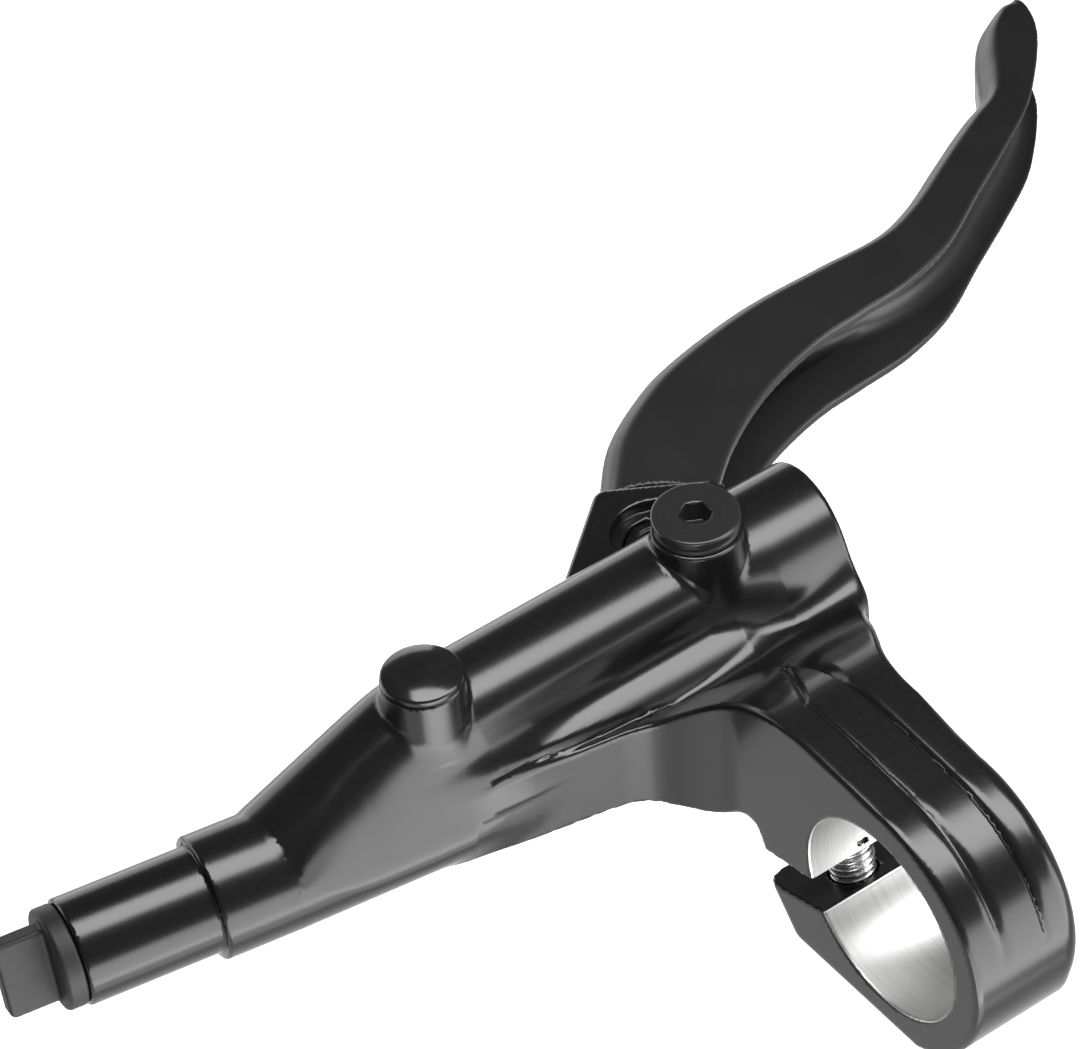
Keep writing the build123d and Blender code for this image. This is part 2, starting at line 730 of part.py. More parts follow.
master_piston.label = "master_piston"

# Primary cup: rubber, its lip facing the pressure side
cup_r = bore_r - PRESS_FIT
cup_hole = PISTON_NOSE_D / 2 + PRESS_FIT
primary_cup = cylinder_turning(
    (
        (piston_nose - PRESS_FIT, cup_hole),
        (piston_nose - PRESS_FIT, cup_r),
        (piston_nose - CUP_T, cup_r),
        (piston_nose - CUP_T, cup_r - CUP_LIP),
        (piston_nose - CUP_BASE, cup_r - CUP_LIP),
        (piston_nose - CUP_BASE, cup_hole),
    )
)
primary_cup.label = "primary_cup"

# Secondary cup: rubber ring in the groove of the rear land
ring_in = groove_out - RING_GROOVE_W + RUN_FIT
secondary_cup = cylinder_turning(
    (
        (ring_in, RING_GROOVE_D / 2 + PRESS_FIT),
        (ring_in, cup_r),
        (groove_out - RUN_FIT, cup_r),
        (groove_out - RUN_FIT, RING_GROOVE_D / 2 + PRESS_FIT),
    )
)
secondary_cup.label = "secondary_cup"

# Return spring between the primary cup and the blind end of the bore
spring_out = piston_nose - CUP_BASE - SPRING_WIRE / 2 - RUN_FIT
spring_in = CYL_BORE_IN + SPRING_WIRE / 2 + RUN_FIT
with BuildPart() as return_spring:
    with BuildLine() as coil:
        Helix(
            pitch=(spring_out - spring_in) / SPRING_TURNS,
            height=spring_out - spring_in,
            radius=(SPRING_OD - SPRING_WIRE) / 2,
            center=(spring_in, CYL_Y, LEVER_Z),
            direction=(1, 0, 0),
        )
    with BuildSketch(Plane(origin=coil.line @ 0, z_dir=coil.line % 0)):
        RegularPolygon(SPRING_WIRE / 2, 6)
    sweep(path=coil.line, is_frenet=True)
return_spring.part.label = "return_spring"

# Circlip that keeps the piston in
with BuildPart() as piston_circlip:
    with BuildSketch(along_bar(circlip_x)):
        with Locations((CYL_Y, LEVER_Z)):
            Circle(bore_r + CIRCLIP_SINK - PRESS_FIT)
            Circle(CIRCLIP_ID / 2, mode=Mode.SUBTRACT)
        with Locations((CYL_Y + bore_r, LEVER_Z)):
            Rectangle(CYL_BORE, CIRCLIP_GAP, mode=Mode.SUBTRACT)
    extrude(amount=CIRCLIP_T)
piston_circlip.part.label = "piston_circlip"

# Reservoir plug: aluminium, screwed into the outboard end, with a rubber ring in its groove
plug_r = res_bore_r - PRESS_FIT
ring_start = plug_in + (PLUG_T - PLUG_RING_T) / 2 - RUN_FIT
with BuildPart() as reservoir_plug:
    with BuildSketch(along_bar(plug_in)):
        with Locations((res_y, res_z)):
            Circle(plug_r)
    extrude(amount=PLUG_T)
    with BuildSketch(along_bar(ring_start)):
        with Locations((res_y, res_z)):
            Circle(plug_r)
            Circle(plug_r - PLUG_RING_DEPTH, mode=Mode.SUBTRACT)
    extrude(amount=PLUG_RING_T + 2 * RUN_FIT, mode=Mode.SUBTRACT)
    with BuildSketch(along_bar(plug_in + PLUG_T)):
        with Locations((res_y, res_z)):
            RegularPolygon(PLUG_HEX / 2, 6, major_radius=False)
    extrude(amount=-PLUG_HEX_DEPTH, mode=Mode.SUBTRACT)
reservoir_plug.part.label = "reservoir_plug"

with BuildPart() as reservoir_plug_seal:
    with BuildSketch(along_bar(ring_start + RUN_FIT)):
        with Locations((res_y, res_z)):
            Circle(plug_r)
            Circle(plug_r - PLUG_RING_DEPTH + PRESS_FIT, mode=Mode.SUBTRACT)
    extrude(amount=PLUG_RING_T)
reservoir_plug_seal.part.label = "reservoir_plug_seal"

# Bladder: a thin rubber sleeve, its lip held by the plug
lip_out = plug_in - PRESS_FIT
with BuildPart() as reservoir_bladder:
    with BuildSketch(along_bar(lip_out)):
        with Locations((res_y, res_z)):
            Circle(plug_r)
    extrude(amount=-BLADDER_LIP_T)
    with BuildSketch(along_bar(lip_out)):
        with Locations((res_y, res_z)):
            Circle(BLADDER_D / 2)
    extrude(amount=-BLADDER_LENGTH)
    with BuildSketch(along_bar(lip_out)):
        with Locations((res_y, res_z)):
            Circle(BLADDER_D / 2 - BLADDER_WALL)
    extrude(amount=-BLADDER_LENGTH + BLADDER_WALL, mode=Mode.SUBTRACT)
reservoir_bladder.part.label = "reservoir_bladder"

# Bleed screw with its flat seal, on the outboard boss
head_low = bleed_rim + SEAL_T + PRESS_FIT
with BuildPart() as bleed_screw:
    with BuildSketch(Plane.XY.offset(head_low)):
        with Locations((BLEED_X, boss_y)):
            Circle(BLEED_HEAD_D / 2)
    extrude(amount=BLEED_HEAD_H)
    with BuildSketch(Plane.XY.offset(head_low)):
        with Locations((BLEED_X, boss_y)):
            Circle(BLEED_THREAD_D / 2)
    extrude(amount=-BLEED_SHANK)
    with BuildSketch(Plane.XY.offset(head_low + BLEED_HEAD_H)):
        with Locations((BLEED_X, boss_y)):
            RegularPolygon(BLEED_HEX / 2, 6, major_radius=False)
    extrude(amount=-BLEED_HEX_DEPTH, mode=Mode.SUBTRACT)
bleed_screw.part.label = "bleed_screw"

with BuildPart() as bleed_seal:
    with BuildSketch(Plane.XY.offset(bleed_rim)):
        with Locations((BLEED_X, boss_y)):
            Circle(SEAL_D / 2)
            Circle(BLEED_THREAD_D / 2 + PRESS_FIT, mode=Mode.SUBTRACT)
    extrude(amount=SEAL_T)
bleed_seal.part.label = "bleed_seal"

# Port cap: a domed plug pressed into the inboard boss
dome_r = ((CAP_D / 2) ** 2 + CAP_CROWN**2) / (2 * CAP_CROWN)
with BuildPart() as port_cap:
    with BuildSketch(Plane.XZ.offset(-boss_y)):
        with BuildLine():
            Polyline(
                (CAP_X, cap_rim + CAP_RIM_T + CAP_CROWN),
                (CAP_X, cap_rim - CAP_PLUG_LENGTH),
                (CAP_X + CAP_PLUG_D / 2, cap_rim - CAP_PLUG_LENGTH),
                (CAP_X + CAP_PLUG_D / 2, cap_rim),
                (CAP_X + CAP_D / 2, cap_rim),
                (CAP_X + CAP_D / 2, cap_rim + CAP_RIM_T),
            )
            RadiusArc(
                (CAP_X, cap_rim + CAP_RIM_T + CAP_CROWN),
                (CAP_X + CAP_D / 2, cap_rim + CAP_RIM_T),
                dome_r,
            )
        make_face()
    revolve(axis=Axis((CAP_X, boss_y, 0), (0, 0, 1)))
port_cap.part.label = "port_cap"

# Clamp bolt, screwed up into the arm, and the washer under its head
head_top = bolt_seat - WASHER_T - RUN_FIT
with BuildPart() as clamp_bolt:
    with BuildSketch(bolt_plane(head_top)):
        Circle(BOLT_HEAD_D / 2)
    extrude(amount=-BOLT_HEAD_H)
    with BuildSketch(bolt_plane(head_top)):
        Circle(BOLT_D / 2)
    extrude(amount=BOLT_REACH - SLIT_DROP - head_top)
    with BuildSketch(bolt_plane(head_top - BOLT_HEAD_H)):
        RegularPolygon(BOLT_HEX / 2, 6, major_radius=False)
    extrude(amount=BOLT_HEX_DEPTH, mode=Mode.SUBTRACT)
clamp_bolt.part.label = "clamp_bolt"

with BuildPart() as clamp_washer:
    with BuildSketch(bolt_plane(bolt_seat - PRESS_FIT)):
        Circle(BOLT_HEAD_D / 2)
        Circle(BOLT_D / 2 + BOLT_CLEAR, mode=Mode.SUBTRACT)
    extrude(amount=-WASHER_T)
clamp_washer.part.label = "clamp_washer"

# Shipping plug: moulded plastic, a shank in the hose port with a disc and a finger tab
port_face = COLLAR_LENGTH + STUB_LENGTH
with BuildPart() as hose_plug:
    with BuildSketch(hose_plane(port_face + PRESS_FIT)):
        Circle(PLUG_DISC_D / 2)
    extrude(amount=PLUG_DISC_T)
    with BuildSketch(hose_plane(port_face + PRESS_FIT)):
        Circle(HOSE_BORE / 2 - PRESS_FIT)
    extrude(amount=-PLUG_SHANK)
    with BuildSketch(hose_plane(port_face + PLUG_DISC_T)):
        with Locations(Location((0, 0), PLUG_FIN_TURN)):
            Rectangle(PLUG_FIN_W, PLUG_FIN_T)
    extrude(amount=PLUG_FIN_LENGTH)
hose_plug.part.label = "hose_plug"

for piece in (
    lever_body.part,
    lever_blade.part,
    pivot_pin.part,
    pivot_clip.part,
    pivot_bush_upper,
    pivot_bush_lower,
    reach_screw.part,
    push_rod.part,
    master_piston,
    primary_cup,
    secondary_cup,
    return_spring.part,
    piston_circlip.part,
    reservoir_plug.part,
    reservoir_plug_seal.part,
    reservoir_bladder.part,
    bleed_screw.part,
    bleed_seal.part,
    port_cap.part,
    clamp_bolt.part,
    clamp_washer.part,
    hose_plug.part,
):
    export_step(piece, "parts/" + piece.label + ".step")
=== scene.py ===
import math

import bpy
import numpy as np
from mathutils import Matrix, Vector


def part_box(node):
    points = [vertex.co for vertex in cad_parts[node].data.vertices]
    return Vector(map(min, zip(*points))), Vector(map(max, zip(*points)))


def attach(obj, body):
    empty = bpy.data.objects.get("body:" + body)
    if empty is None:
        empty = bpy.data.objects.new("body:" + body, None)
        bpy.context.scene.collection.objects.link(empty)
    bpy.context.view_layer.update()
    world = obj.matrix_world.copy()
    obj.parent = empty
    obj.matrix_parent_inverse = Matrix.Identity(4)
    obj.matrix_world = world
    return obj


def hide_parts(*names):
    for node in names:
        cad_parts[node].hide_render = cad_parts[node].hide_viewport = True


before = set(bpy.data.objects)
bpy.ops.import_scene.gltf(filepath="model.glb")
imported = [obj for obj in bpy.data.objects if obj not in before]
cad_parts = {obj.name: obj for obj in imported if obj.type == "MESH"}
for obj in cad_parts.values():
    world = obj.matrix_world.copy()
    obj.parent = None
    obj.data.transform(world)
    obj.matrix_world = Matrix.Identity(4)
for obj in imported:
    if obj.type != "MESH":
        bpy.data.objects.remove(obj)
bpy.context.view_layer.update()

# Body: one aluminium forging, shot-blasted and painted semi-gloss black.
# Clamp, arm, two tubes, hose collar, bosses and ears are one piece; the bores are machined after painting.
# Its shape is a distance field in millimetres, meshed on a fine grid and pulled on to the surface.
MM = 0.001
BODY_GRID = 0.42

BAR_R = 11.1
BAND_R = 14.8
BAND_FLAT = 1.0
HALF_WIDTH = 6.75
RIM_ROUND = 0.65
UNDER_ROUND = 0.3
ROUND_FROM = ((4.0, 16.0), (-12.5, -1.0))
ROUND_OVER = ((4.0, 16.0), (8.0, 3.0))
FAR_ROUND = ((-15.0, 4.0, 10.0, 15.0, 21.0, 28.0, 34.0), (2.3, 2.0, 0.9, 0.8, 0.9, 1.2, 1.4))
ARM_TOP = (
    (41.0, -2.0),
    (36.0, 2.1),
    (33.7, 5.0),
    (31.75, 5.9),
    (29.8, 6.9),
    (27.0, 9.0),
    (24.0, 11.3),
    (21.0, 13.15),
    (18.0, 14.55),
    (15.0, 15.35),
    (12.0, 15.55),
    (6.0, 15.25),
    (0.0, 14.8),
)
ARM_TURN = (-11.0, 0.16)
TURN_FADE = (1.0, 2.0)
GUSSET_POINT = (-15.0, 31.3)
GUSSET_LEAN = 0.178
GUSSET_ROUND = 8.0
GUSSET_END = -40.0
GUSSET_SINK = (-24.0, 0.02)
FLARE_START = (6.75, 15.0)
FLARE_END = (17.5, 33.2)
FLARE_EASE = 2.0
ARM_UNDER = (
    (18.3, -5.0),
    (18.7, -4.2),
    (19.2, -3.2),
    (19.9, -2.45),
    (21.0, -2.4),
    (22.4, -3.0),
    (24.2, -4.3),
    (26.2, -5.2),
    (28.8, -5.0),
    (31.0, -4.0),
    (34.0, -3.4),
)
JAW_FRONT = 19.2
JAW_CORNER = 3.0
JAW_RAKE = 0.8
JAW_TURN_Z = -9.6
JAW_TOP = -2.0
SLIT_TOP = ((10.65, -3.2), -0.225)
SLIT_LOW = ((8.55, -6.3), -0.33)
SLIT_REACH = (4.0, 24.0)
SLIT_EDGE = 0.15
TUBE_R = 6.2
TUBE_BORE_R = 4.2
TUBE_BORE_END = -37.0
TANK_R = 6.0
TANK_BORE_R = 3.4
TANK_BORE_END = -34.0
TANK_OFFSET = (2.2, 8.7)
TAPER_START = -33.0
TAPER_OVERLAP = 1.2
TAPER_EASE = 0.1
TAPER_SINK = 0.15
TAPER_MOST = 0.995
WEB_PAST = (3.0, 20.0)
WALL_LEAN = ((-49.7, -40.0, -33.0, -26.0), (26.0, 24.0, 18.0, 14.2))
SHOULDER = ((-49.0, -46.0, -42.0, -36.0, -27.0), (0.02, 0.4, 1.4, 1.4, 0.05))
WEB_OPEN = ((-27.0, -17.0, 0.0, 9.0), (0.0, 1.0, 1.0, 0.0))
END_VALLEY = 8.4
SHELF_SPOT = (34.6, 8.3)
SHELF_TURN = math.radians(62.0)
SHELF_R = ((-30.0, -24.0, -4.0, 10.0), (7.0, 8.0, 8.0, 7.0))
SHELF_SUNK = ((-33.0, -27.0, -22.0, 3.0, 12.0), (2.0, 0.6, 0.0, 0.0, 1.6))
SHELF_FOOT = 4.0
SHELF_EDGE = 0.5
SHELF_INSET = ((-28.0, -11.0, -4.0, 2.0), (0.2, 1.6, 1.4, 1.0))
SHELF_FILLET = ((-28.0, -20.0, -14.0), (2.2, 1.7, 1.4))
ARM_FILLET = ((-27.0, -11.0, -4.0, 1.0, 6.0, 12.0, 17.0), (0.3, 0.5, 0.8, 1.2, 2.0, 3.5, 5.0))
LEAST_BLEND = 0.05
GUSSET_BLEND = ((-40.0, -32.0, -24.0, -15.0), (0.0, 1.8, 1.6, 0.1))
END_ROUND = 0.6
HOSE_YAW = math.radians(9.64)
COLLAR_START = (-48.5, 42.4)
COLLAR_R = 6.5
COLLAR_LENGTH = 8.3
STUB_R = 5.6
STUB_LENGTH = 14.2
STUB_FILLET = 0.25
STUB_BORE_R = 3.5
STUB_BORE_DEPTH = 11.0
EDGE_BREAK = 0.3
BOSS_FILLET = 0.5
BOSS_DRAFT = 0.05
BLEED_BOSS_R = 4.65
BLEED_RIM_Z = 17.4
CAP_BOSS_R = 4.25
CAP_RIM_Z = 17.7
EAR_T = 4.0
SLOT_HALF = 4.4
EAR_CORE = ((-14.8, -4.05), (-0.9, 7.5), (7.85, 1.95), (9.6, -3.55), (9.6, -9.0), (-14.8, -9.0))
EAR_ROUND = 1.6
EAR_EDGE = 0.7
EAR_FILLET = 0.6
POCKET_R = 4.95
POCKET_DEPTH = 1.5
PLATE_EDGE = (
    (-28.0, 33.6),
    (-11.0, 32.5),
    (-8.0, 31.5),
    (-3.8, 30.5),
    (-1.3, 28.9),
    (0.4, 27.6),
    (1.6, 26.0),
    (1.8, 24.0),
    (1.9, 20.0),
    (2.0, 14.0),
    (2.0, -30.0),
    (-60.0, -30.0),
    (-60.0, 33.6),
)
PLATE_DEPTH = 0.75
PLATE_STEP = 0.3
PLATE_WIDE = ((12.0, 16.0, 22.0, 28.0), (0.5, 0.6, 1.5, 3.5))
LINE_FADE = (3.2, 4.0)
SEAM_LINE = ((1.0, 24.0), (-2.7, 15.8), (-2.7, -30.0))
SEAM_DEPTH = 0.32
SEAM_WIDE = ((-14.0, 10.0), (0.5, 0.28))


def box_mm(node):
    """Lowest and highest corner of a CAD piece, in millimetres."""
    low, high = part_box(node)
    return np.array(low) / MM, np.array(high) / MM


def middle(node):
    low, high = box_mm(node)
    return (low + high) / 2


PIVOT = middle("pivot_pin")
TUBE = middle("master_piston")
TANK_Y = TUBE[1] + TANK_OFFSET[0]
TANK_Z = TUBE[2] + TANK_OFFSET[1]
LEVER_Z = TUBE[2]
BLEED = middle("bleed_screw")
CAP = middle("port_cap")
TUBE_END = FLARE_END[0]


def meet(a, b, r):
    """Where both fields are solid, with the edge between them rounded."""
    return np.minimum(-r, np.maximum(a, b)) + np.hypot(np.maximum(r + a, 0), np.maximum(r + b, 0))


def join(a, b, r):
    """Where either field is solid, with a fillet between them."""
    return np.maximum(r, np.minimum(a, b)) - np.hypot(np.maximum(r - a, 0), np.maximum(r - b, 0))


def cut(a, b, r):
    """The first field without the second, with the edge between them rounded."""
    return meet(a, -b, r)


def slab(t, low, high):
    return np.maximum(low - t, t - high)


def line_distance(u, v, points):
    """Distance to an open run of straight lines."""
    far = np.full(np.broadcast(u, v).shape, 1e9)
    for (u0, v0), (u1, v1) in zip(points, points[1:]):
        du, dv = u1 - u0, v1 - v0
        share = np.clip(((u - u0) * du + (v - v0) * dv) / (du * du + dv * dv), 0, 1)
        far = np.minimum(far, np.hypot(u - u0 - share * du, v - v0 - share * dv))
    return far


def outline_field(u, v, points):
    """Signed distance to a closed outline of straight lines."""
    closed = points + points[:1]
    far = line_distance(u, v, closed)
    inside = np.zeros(far.shape, bool)
    for (u0, v0), (u1, v1) in zip(closed, closed[1:]):
        crosses = ((v0 <= v) & (v < v1)) | ((v1 <= v) & (v < v0))
        inside ^= crosses & (u < u0 + (v - v0) * (u1 - u0) / (v1 - v0 if v1 != v0 else 1.0))
    return np.where(inside, -far, far)


def wrapped(u, v, to_u, to_v, r, end_r):
    """Two circles, one at the middle and one at an offset, with the flat sides that wrap them."""
    reach = np.hypot(to_u, to_v)
    along = (u * to_u + v * to_v) / reach
    across = np.abs(u * to_v - v * to_u) / reach
    lean = np.clip((r - end_r) / reach, -0.999, 0.999)
    flat = np.sqrt(1 - lean * lean)
    place = along * flat - across * lean
    sides = across * flat + along * lean - r
    ends = np.where(place > flat * reach, np.hypot(across, along - reach) - end_r, sides)
    return np.where(place < 0, np.hypot(across, along) - r, ends)


def hose_frame(x, y, z):
    """Distance out along the hose port and distance from its axis."""
    dx, dy, dz = x - COLLAR_START[0], y - COLLAR_START[1], z - LEVER_Z
    along = -dx * math.cos(HOSE_YAW) + dy * math.sin(HOSE_YAW)
    across = dx * math.sin(HOSE_YAW) + dy * math.cos(HOSE_YAW)
    return along, np.hypot(across, dz)


def smooth_run(points, step):
    """A smooth curve through points, as many short straight lines."""
    p = np.array(points, float)
    t = np.concatenate(([0.0], np.cumsum(np.sqrt(np.linalg.norm(np.diff(p, axis=0), axis=1)))))
    slope = np.gradient(p, t, axis=0)
    count = int(np.linalg.norm(np.diff(p, axis=0), axis=1).sum() / step)
    fine = np.linspace(0, t[-1], count)
    i = np.clip(np.searchsorted(t, fine, side="right") - 1, 0, len(t) - 2)
    gap = (t[i + 1] - t[i])[:, None]
    s = (fine - t[i])[:, None] / gap
    curve = (
        (2 * s**3 - 3 * s**2 + 1) * p[i]
        + (s**3 - 2 * s**2 + s) * gap * slope[i]
        + (3 * s**2 - 2 * s**3) * p[i + 1]
        + (s**3 - s**2) * gap * slope[i + 1]
    )
    return tuple(map(tuple, curve))


def ease(a, b, k):
    """Where either field is solid, eased over a shallow corner."""
    near_by = np.maximum(k - np.abs(a - b), 0) / k
    return np.minimum(a, b) - near_by * near_by * k / 4


arm_outline = ((0.0, -6.0),) + smooth_run(ARM_UNDER, 0.5) + ((41.0, -3.4),) + smooth_run(ARM_TOP, 0.7)


def gusset_wall(x):
    """Where the gusset's near wall stands; it sinks into the tube towards the hose."""
    sink = GUSSET_SINK[1] * np.minimum(x - GUSSET_SINK[0], 0) ** 2
    return GUSSET_POINT[1] - GUSSET_LEAN * (x - GUSSET_POINT[0]) + sink


def arm_field(x, y, z):
    """Clamp band, jaws and arm: a side outline and a plan outline, with the line work on top."""
    floor_z = -BAND_R + BAND_FLAT - z
    band = np.maximum(np.hypot(y, z) - BAND_R, floor_z)
    turned = np.clip((z - TURN_FADE[0]) / TURN_FADE[1], 0, 1)
    turned_y = y + ARM_TURN[1] * np.minimum(x - ARM_TURN[0], 0) * turned
    side = np.minimum(band, outline_field(turned_y, z, arm_outline))
    gusset = gusset_wall(x) - y
    near = join(-HALF_WIDTH - x, gusset / math.hypot(1, GUSSET_LEAN), GUSSET_ROUND)
    run = np.subtract(FLARE_END, FLARE_START)
    run = run / np.hypot(*run)
    flare = run[1] * (x - FLARE_START[0]) - run[0] * (y - FLARE_START[1])
    far = ease(x - HALF_WIDTH, flare, FLARE_EASE)
    ends = np.maximum(slab(x, GUSSET_END, TUBE_END - END_ROUND), y - TUBE[1])
    fade = np.clip((z - LINE_FADE[0]) / LINE_FADE[1], 0, 1)
    off_plate = outline_field(x, y, PLATE_EDGE)
    step = np.clip((off_plate + PLATE_STEP / 2) / PLATE_STEP, 0, 1)
    sunk = step * np.exp(-((np.maximum(off_plate, 0) / np.interp(y, *PLATE_WIDE)) ** 2))
    seam = np.exp(-((line_distance(x, y, SEAM_LINE) / np.interp(y, *SEAM_WIDE)) ** 2))
    side = side + fade * (PLATE_DEPTH * sunk + SEAM_DEPTH * seam)
    upper = np.clip((z - np.interp(y, *ROUND_FROM)) / np.interp(y, *ROUND_OVER), 0, 1)
    near_round = UNDER_ROUND + (RIM_ROUND - UNDER_ROUND) * upper
    far_round = UNDER_ROUND + (np.interp(y, *FAR_ROUND) - UNDER_ROUND) * upper
    arm = np.maximum(np.maximum(meet(near, side, near_round), meet(far, side, far_round)), ends)
    front = y - JAW_FRONT - JAW_RAKE * np.minimum(z - JAW_TURN_Z, 0)
    jaw = np.maximum(meet(np.abs(x) - HALF_WIDTH, front, JAW_CORNER), np.maximum(-y, z - JAW_TOP))
    return np.minimum(arm, meet(jaw, floor_z, UNDER_ROUND))


def body_field(x, y, z):
    """The whole forging: tubes with their taper, collar, shelf, arm, bosses and ears, less the bores."""
    end_x = COLLAR_START[0] - TAPER_OVERLAP * math.cos(HOSE_YAW)
    end_y = COLLAR_START[1] + TAPER_OVERLAP * math.sin(HOSE_YAW)
    share = (TAPER_START - x) / (TAPER_START - end_x)
    share = np.minimum((share + np.sqrt(share * share + TAPER_EASE**2)) / 2, TAPER_MOST)
    bend_x = COLLAR_START[0] + (COLLAR_START[1] - TUBE[1]) / math.tan(HOSE_YAW)
    tube_y = TUBE[1] + np.maximum(bend_x - x, 0) * math.tan(HOSE_YAW)
    hidden = TAPER_SINK * np.maximum(end_x - x, 0)
    tube_r = TUBE_R + (COLLAR_R - TUBE_R) * share - hidden
    tank_y = TANK_Y + (end_y - TANK_Y) * share
    tank_z = TANK_Z + (LEVER_Z - TANK_Z) * share
    tank_r = TANK_R + (COLLAR_R - TANK_R) * share - hidden
    square = np.where(x < bend_x, math.cos(HOSE_YAW), 1.0)
    out_y, tank_out = (y - tube_y) * square, (tank_y - tube_y) * square
    web = wrapped(out_y, z - LEVER_Z, tank_out, tank_z - LEVER_Z, tube_r, tank_r)
    lean = np.radians(np.interp(x, *WALL_LEAN))
    wall = (z - LEVER_Z) * np.sin(lean) - out_y * np.cos(lean) - tube_r
    web = -ease(-web, -wall, np.interp(x, *SHOULDER))
    tube = np.hypot(y - TUBE[1], z - LEVER_Z) - TUBE_R
    tank = np.hypot(y - TANK_Y, z - TANK_Z) - TANK_R
    web = np.where(x > 0, join(tube, tank, END_VALLEY), web)
    open_side = np.interp(x, *WEB_OPEN) * (y < TANK_Y)
    solid = web + (np.minimum(tube, tank) - web) * open_side
    solid = np.maximum(solid, slab(x, COLLAR_START[0] - WEB_PAST[0], TUBE_END + WEB_PAST[1]))
    along, off = hose_frame(x, y, z)
    collar = np.maximum(meet(off - COLLAR_R, along - COLLAR_LENGTH, EDGE_BREAK), -along)
    stub = meet(off - STUB_R, slab(along, 0.0, COLLAR_LENGTH + STUB_LENGTH), EDGE_BREAK)
    solid = np.minimum(solid, join(collar, stub, STUB_FILLET))
    shelf_r = np.interp(x, *SHELF_R)
    shelf_y = SHELF_SPOT[0] + shelf_r * math.cos(SHELF_TURN)
    shelf_z = SHELF_SPOT[1] - shelf_r * math.sin(SHELF_TURN)
    shelf = np.hypot(y - shelf_y, z - shelf_z) - shelf_r + np.interp(x, *SHELF_SUNK)
    front = gusset_wall(x) + np.interp(x, *SHELF_INSET) - y
    shelf = np.maximum(meet(shelf, front, SHELF_EDGE), np.maximum(SHELF_FOOT - z, y - TUBE[1]))
    shelf = np.maximum(shelf, slab(x, SHELF_SUNK[0][0], SHELF_SUNK[0][-1]))
    solid = join(solid, shelf, np.interp(x, *SHELF_FILLET))
    arm = arm_field(x, y, z)
    blended = ease(solid, arm, LEAST_BLEND + np.interp(x, *GUSSET_BLEND))
    solid = np.minimum(join(solid, arm, np.interp(x, *ARM_FILLET)), blended)
    for spot, r, rim in ((BLEED, BLEED_BOSS_R, BLEED_RIM_Z), (CAP, CAP_BOSS_R, CAP_RIM_Z)):
        wall = np.hypot(x - spot[0], y - spot[1]) - r - BOSS_DRAFT * (rim - z)
        solid = join(solid, meet(wall, slab(z, TANK_Z, rim), EDGE_BREAK), BOSS_FILLET)
    ears = outline_field(x - PIVOT[0], y - PIVOT[1], EAR_CORE) - EAR_ROUND
    ears = meet(ears, np.abs(z - LEVER_Z) - SLOT_HALF - EAR_T, EAR_EDGE)
    pin_off = np.hypot(x - PIVOT[0], y - PIVOT[1])
    ear_top = LEVER_Z + SLOT_HALF + EAR_T
    ears = cut(ears, np.maximum(pin_off - POCKET_R, ear_top - POCKET_DEPTH - z), EDGE_BREAK)
    solid = join(solid, ears, EAR_FILLET)
    solid = meet(solid, x - TUBE_END, END_ROUND)
    return cut_bores(solid, x, y, z, along, off, pin_off)


SLOT_OUTLINE = ((-4.5, 2.0), (-2.2, 7.0), (-40.0, 7.0), (-40.0, 40.0), (40.0, 12.0), (1.76, -4.57))
ROOT_ROOM_R = 4.9
CHAMBER = ((0.2, 35.4), (10.8, 50.0))
CHAMBER_HALF = 3.6
PIN_SEAT_Z = 6.9
PIN_HEAD_R = 3.7
PIN_R = 2.52
BLEED_HOLE_R = 2.62
CAP_HOLE_R = 2.72
BOLT_TILT = math.radians(13.0)
BOLT_OFFSET = 14.1
BOLT_HOLE_R = 2.65
BOLT_HEAD_R = 4.4
BOLT_SEAT = -7.15
BOLT_TOP = 6.9


def bolt_frame(x, y, z):
    """Height along the clamp bolt and distance from its axis."""
    up = y * math.sin(BOLT_TILT) + z * math.cos(BOLT_TILT)
    out = y * math.cos(BOLT_TILT) - z * math.sin(BOLT_TILT) - BOLT_OFFSET
    return up, np.hypot(x, out)


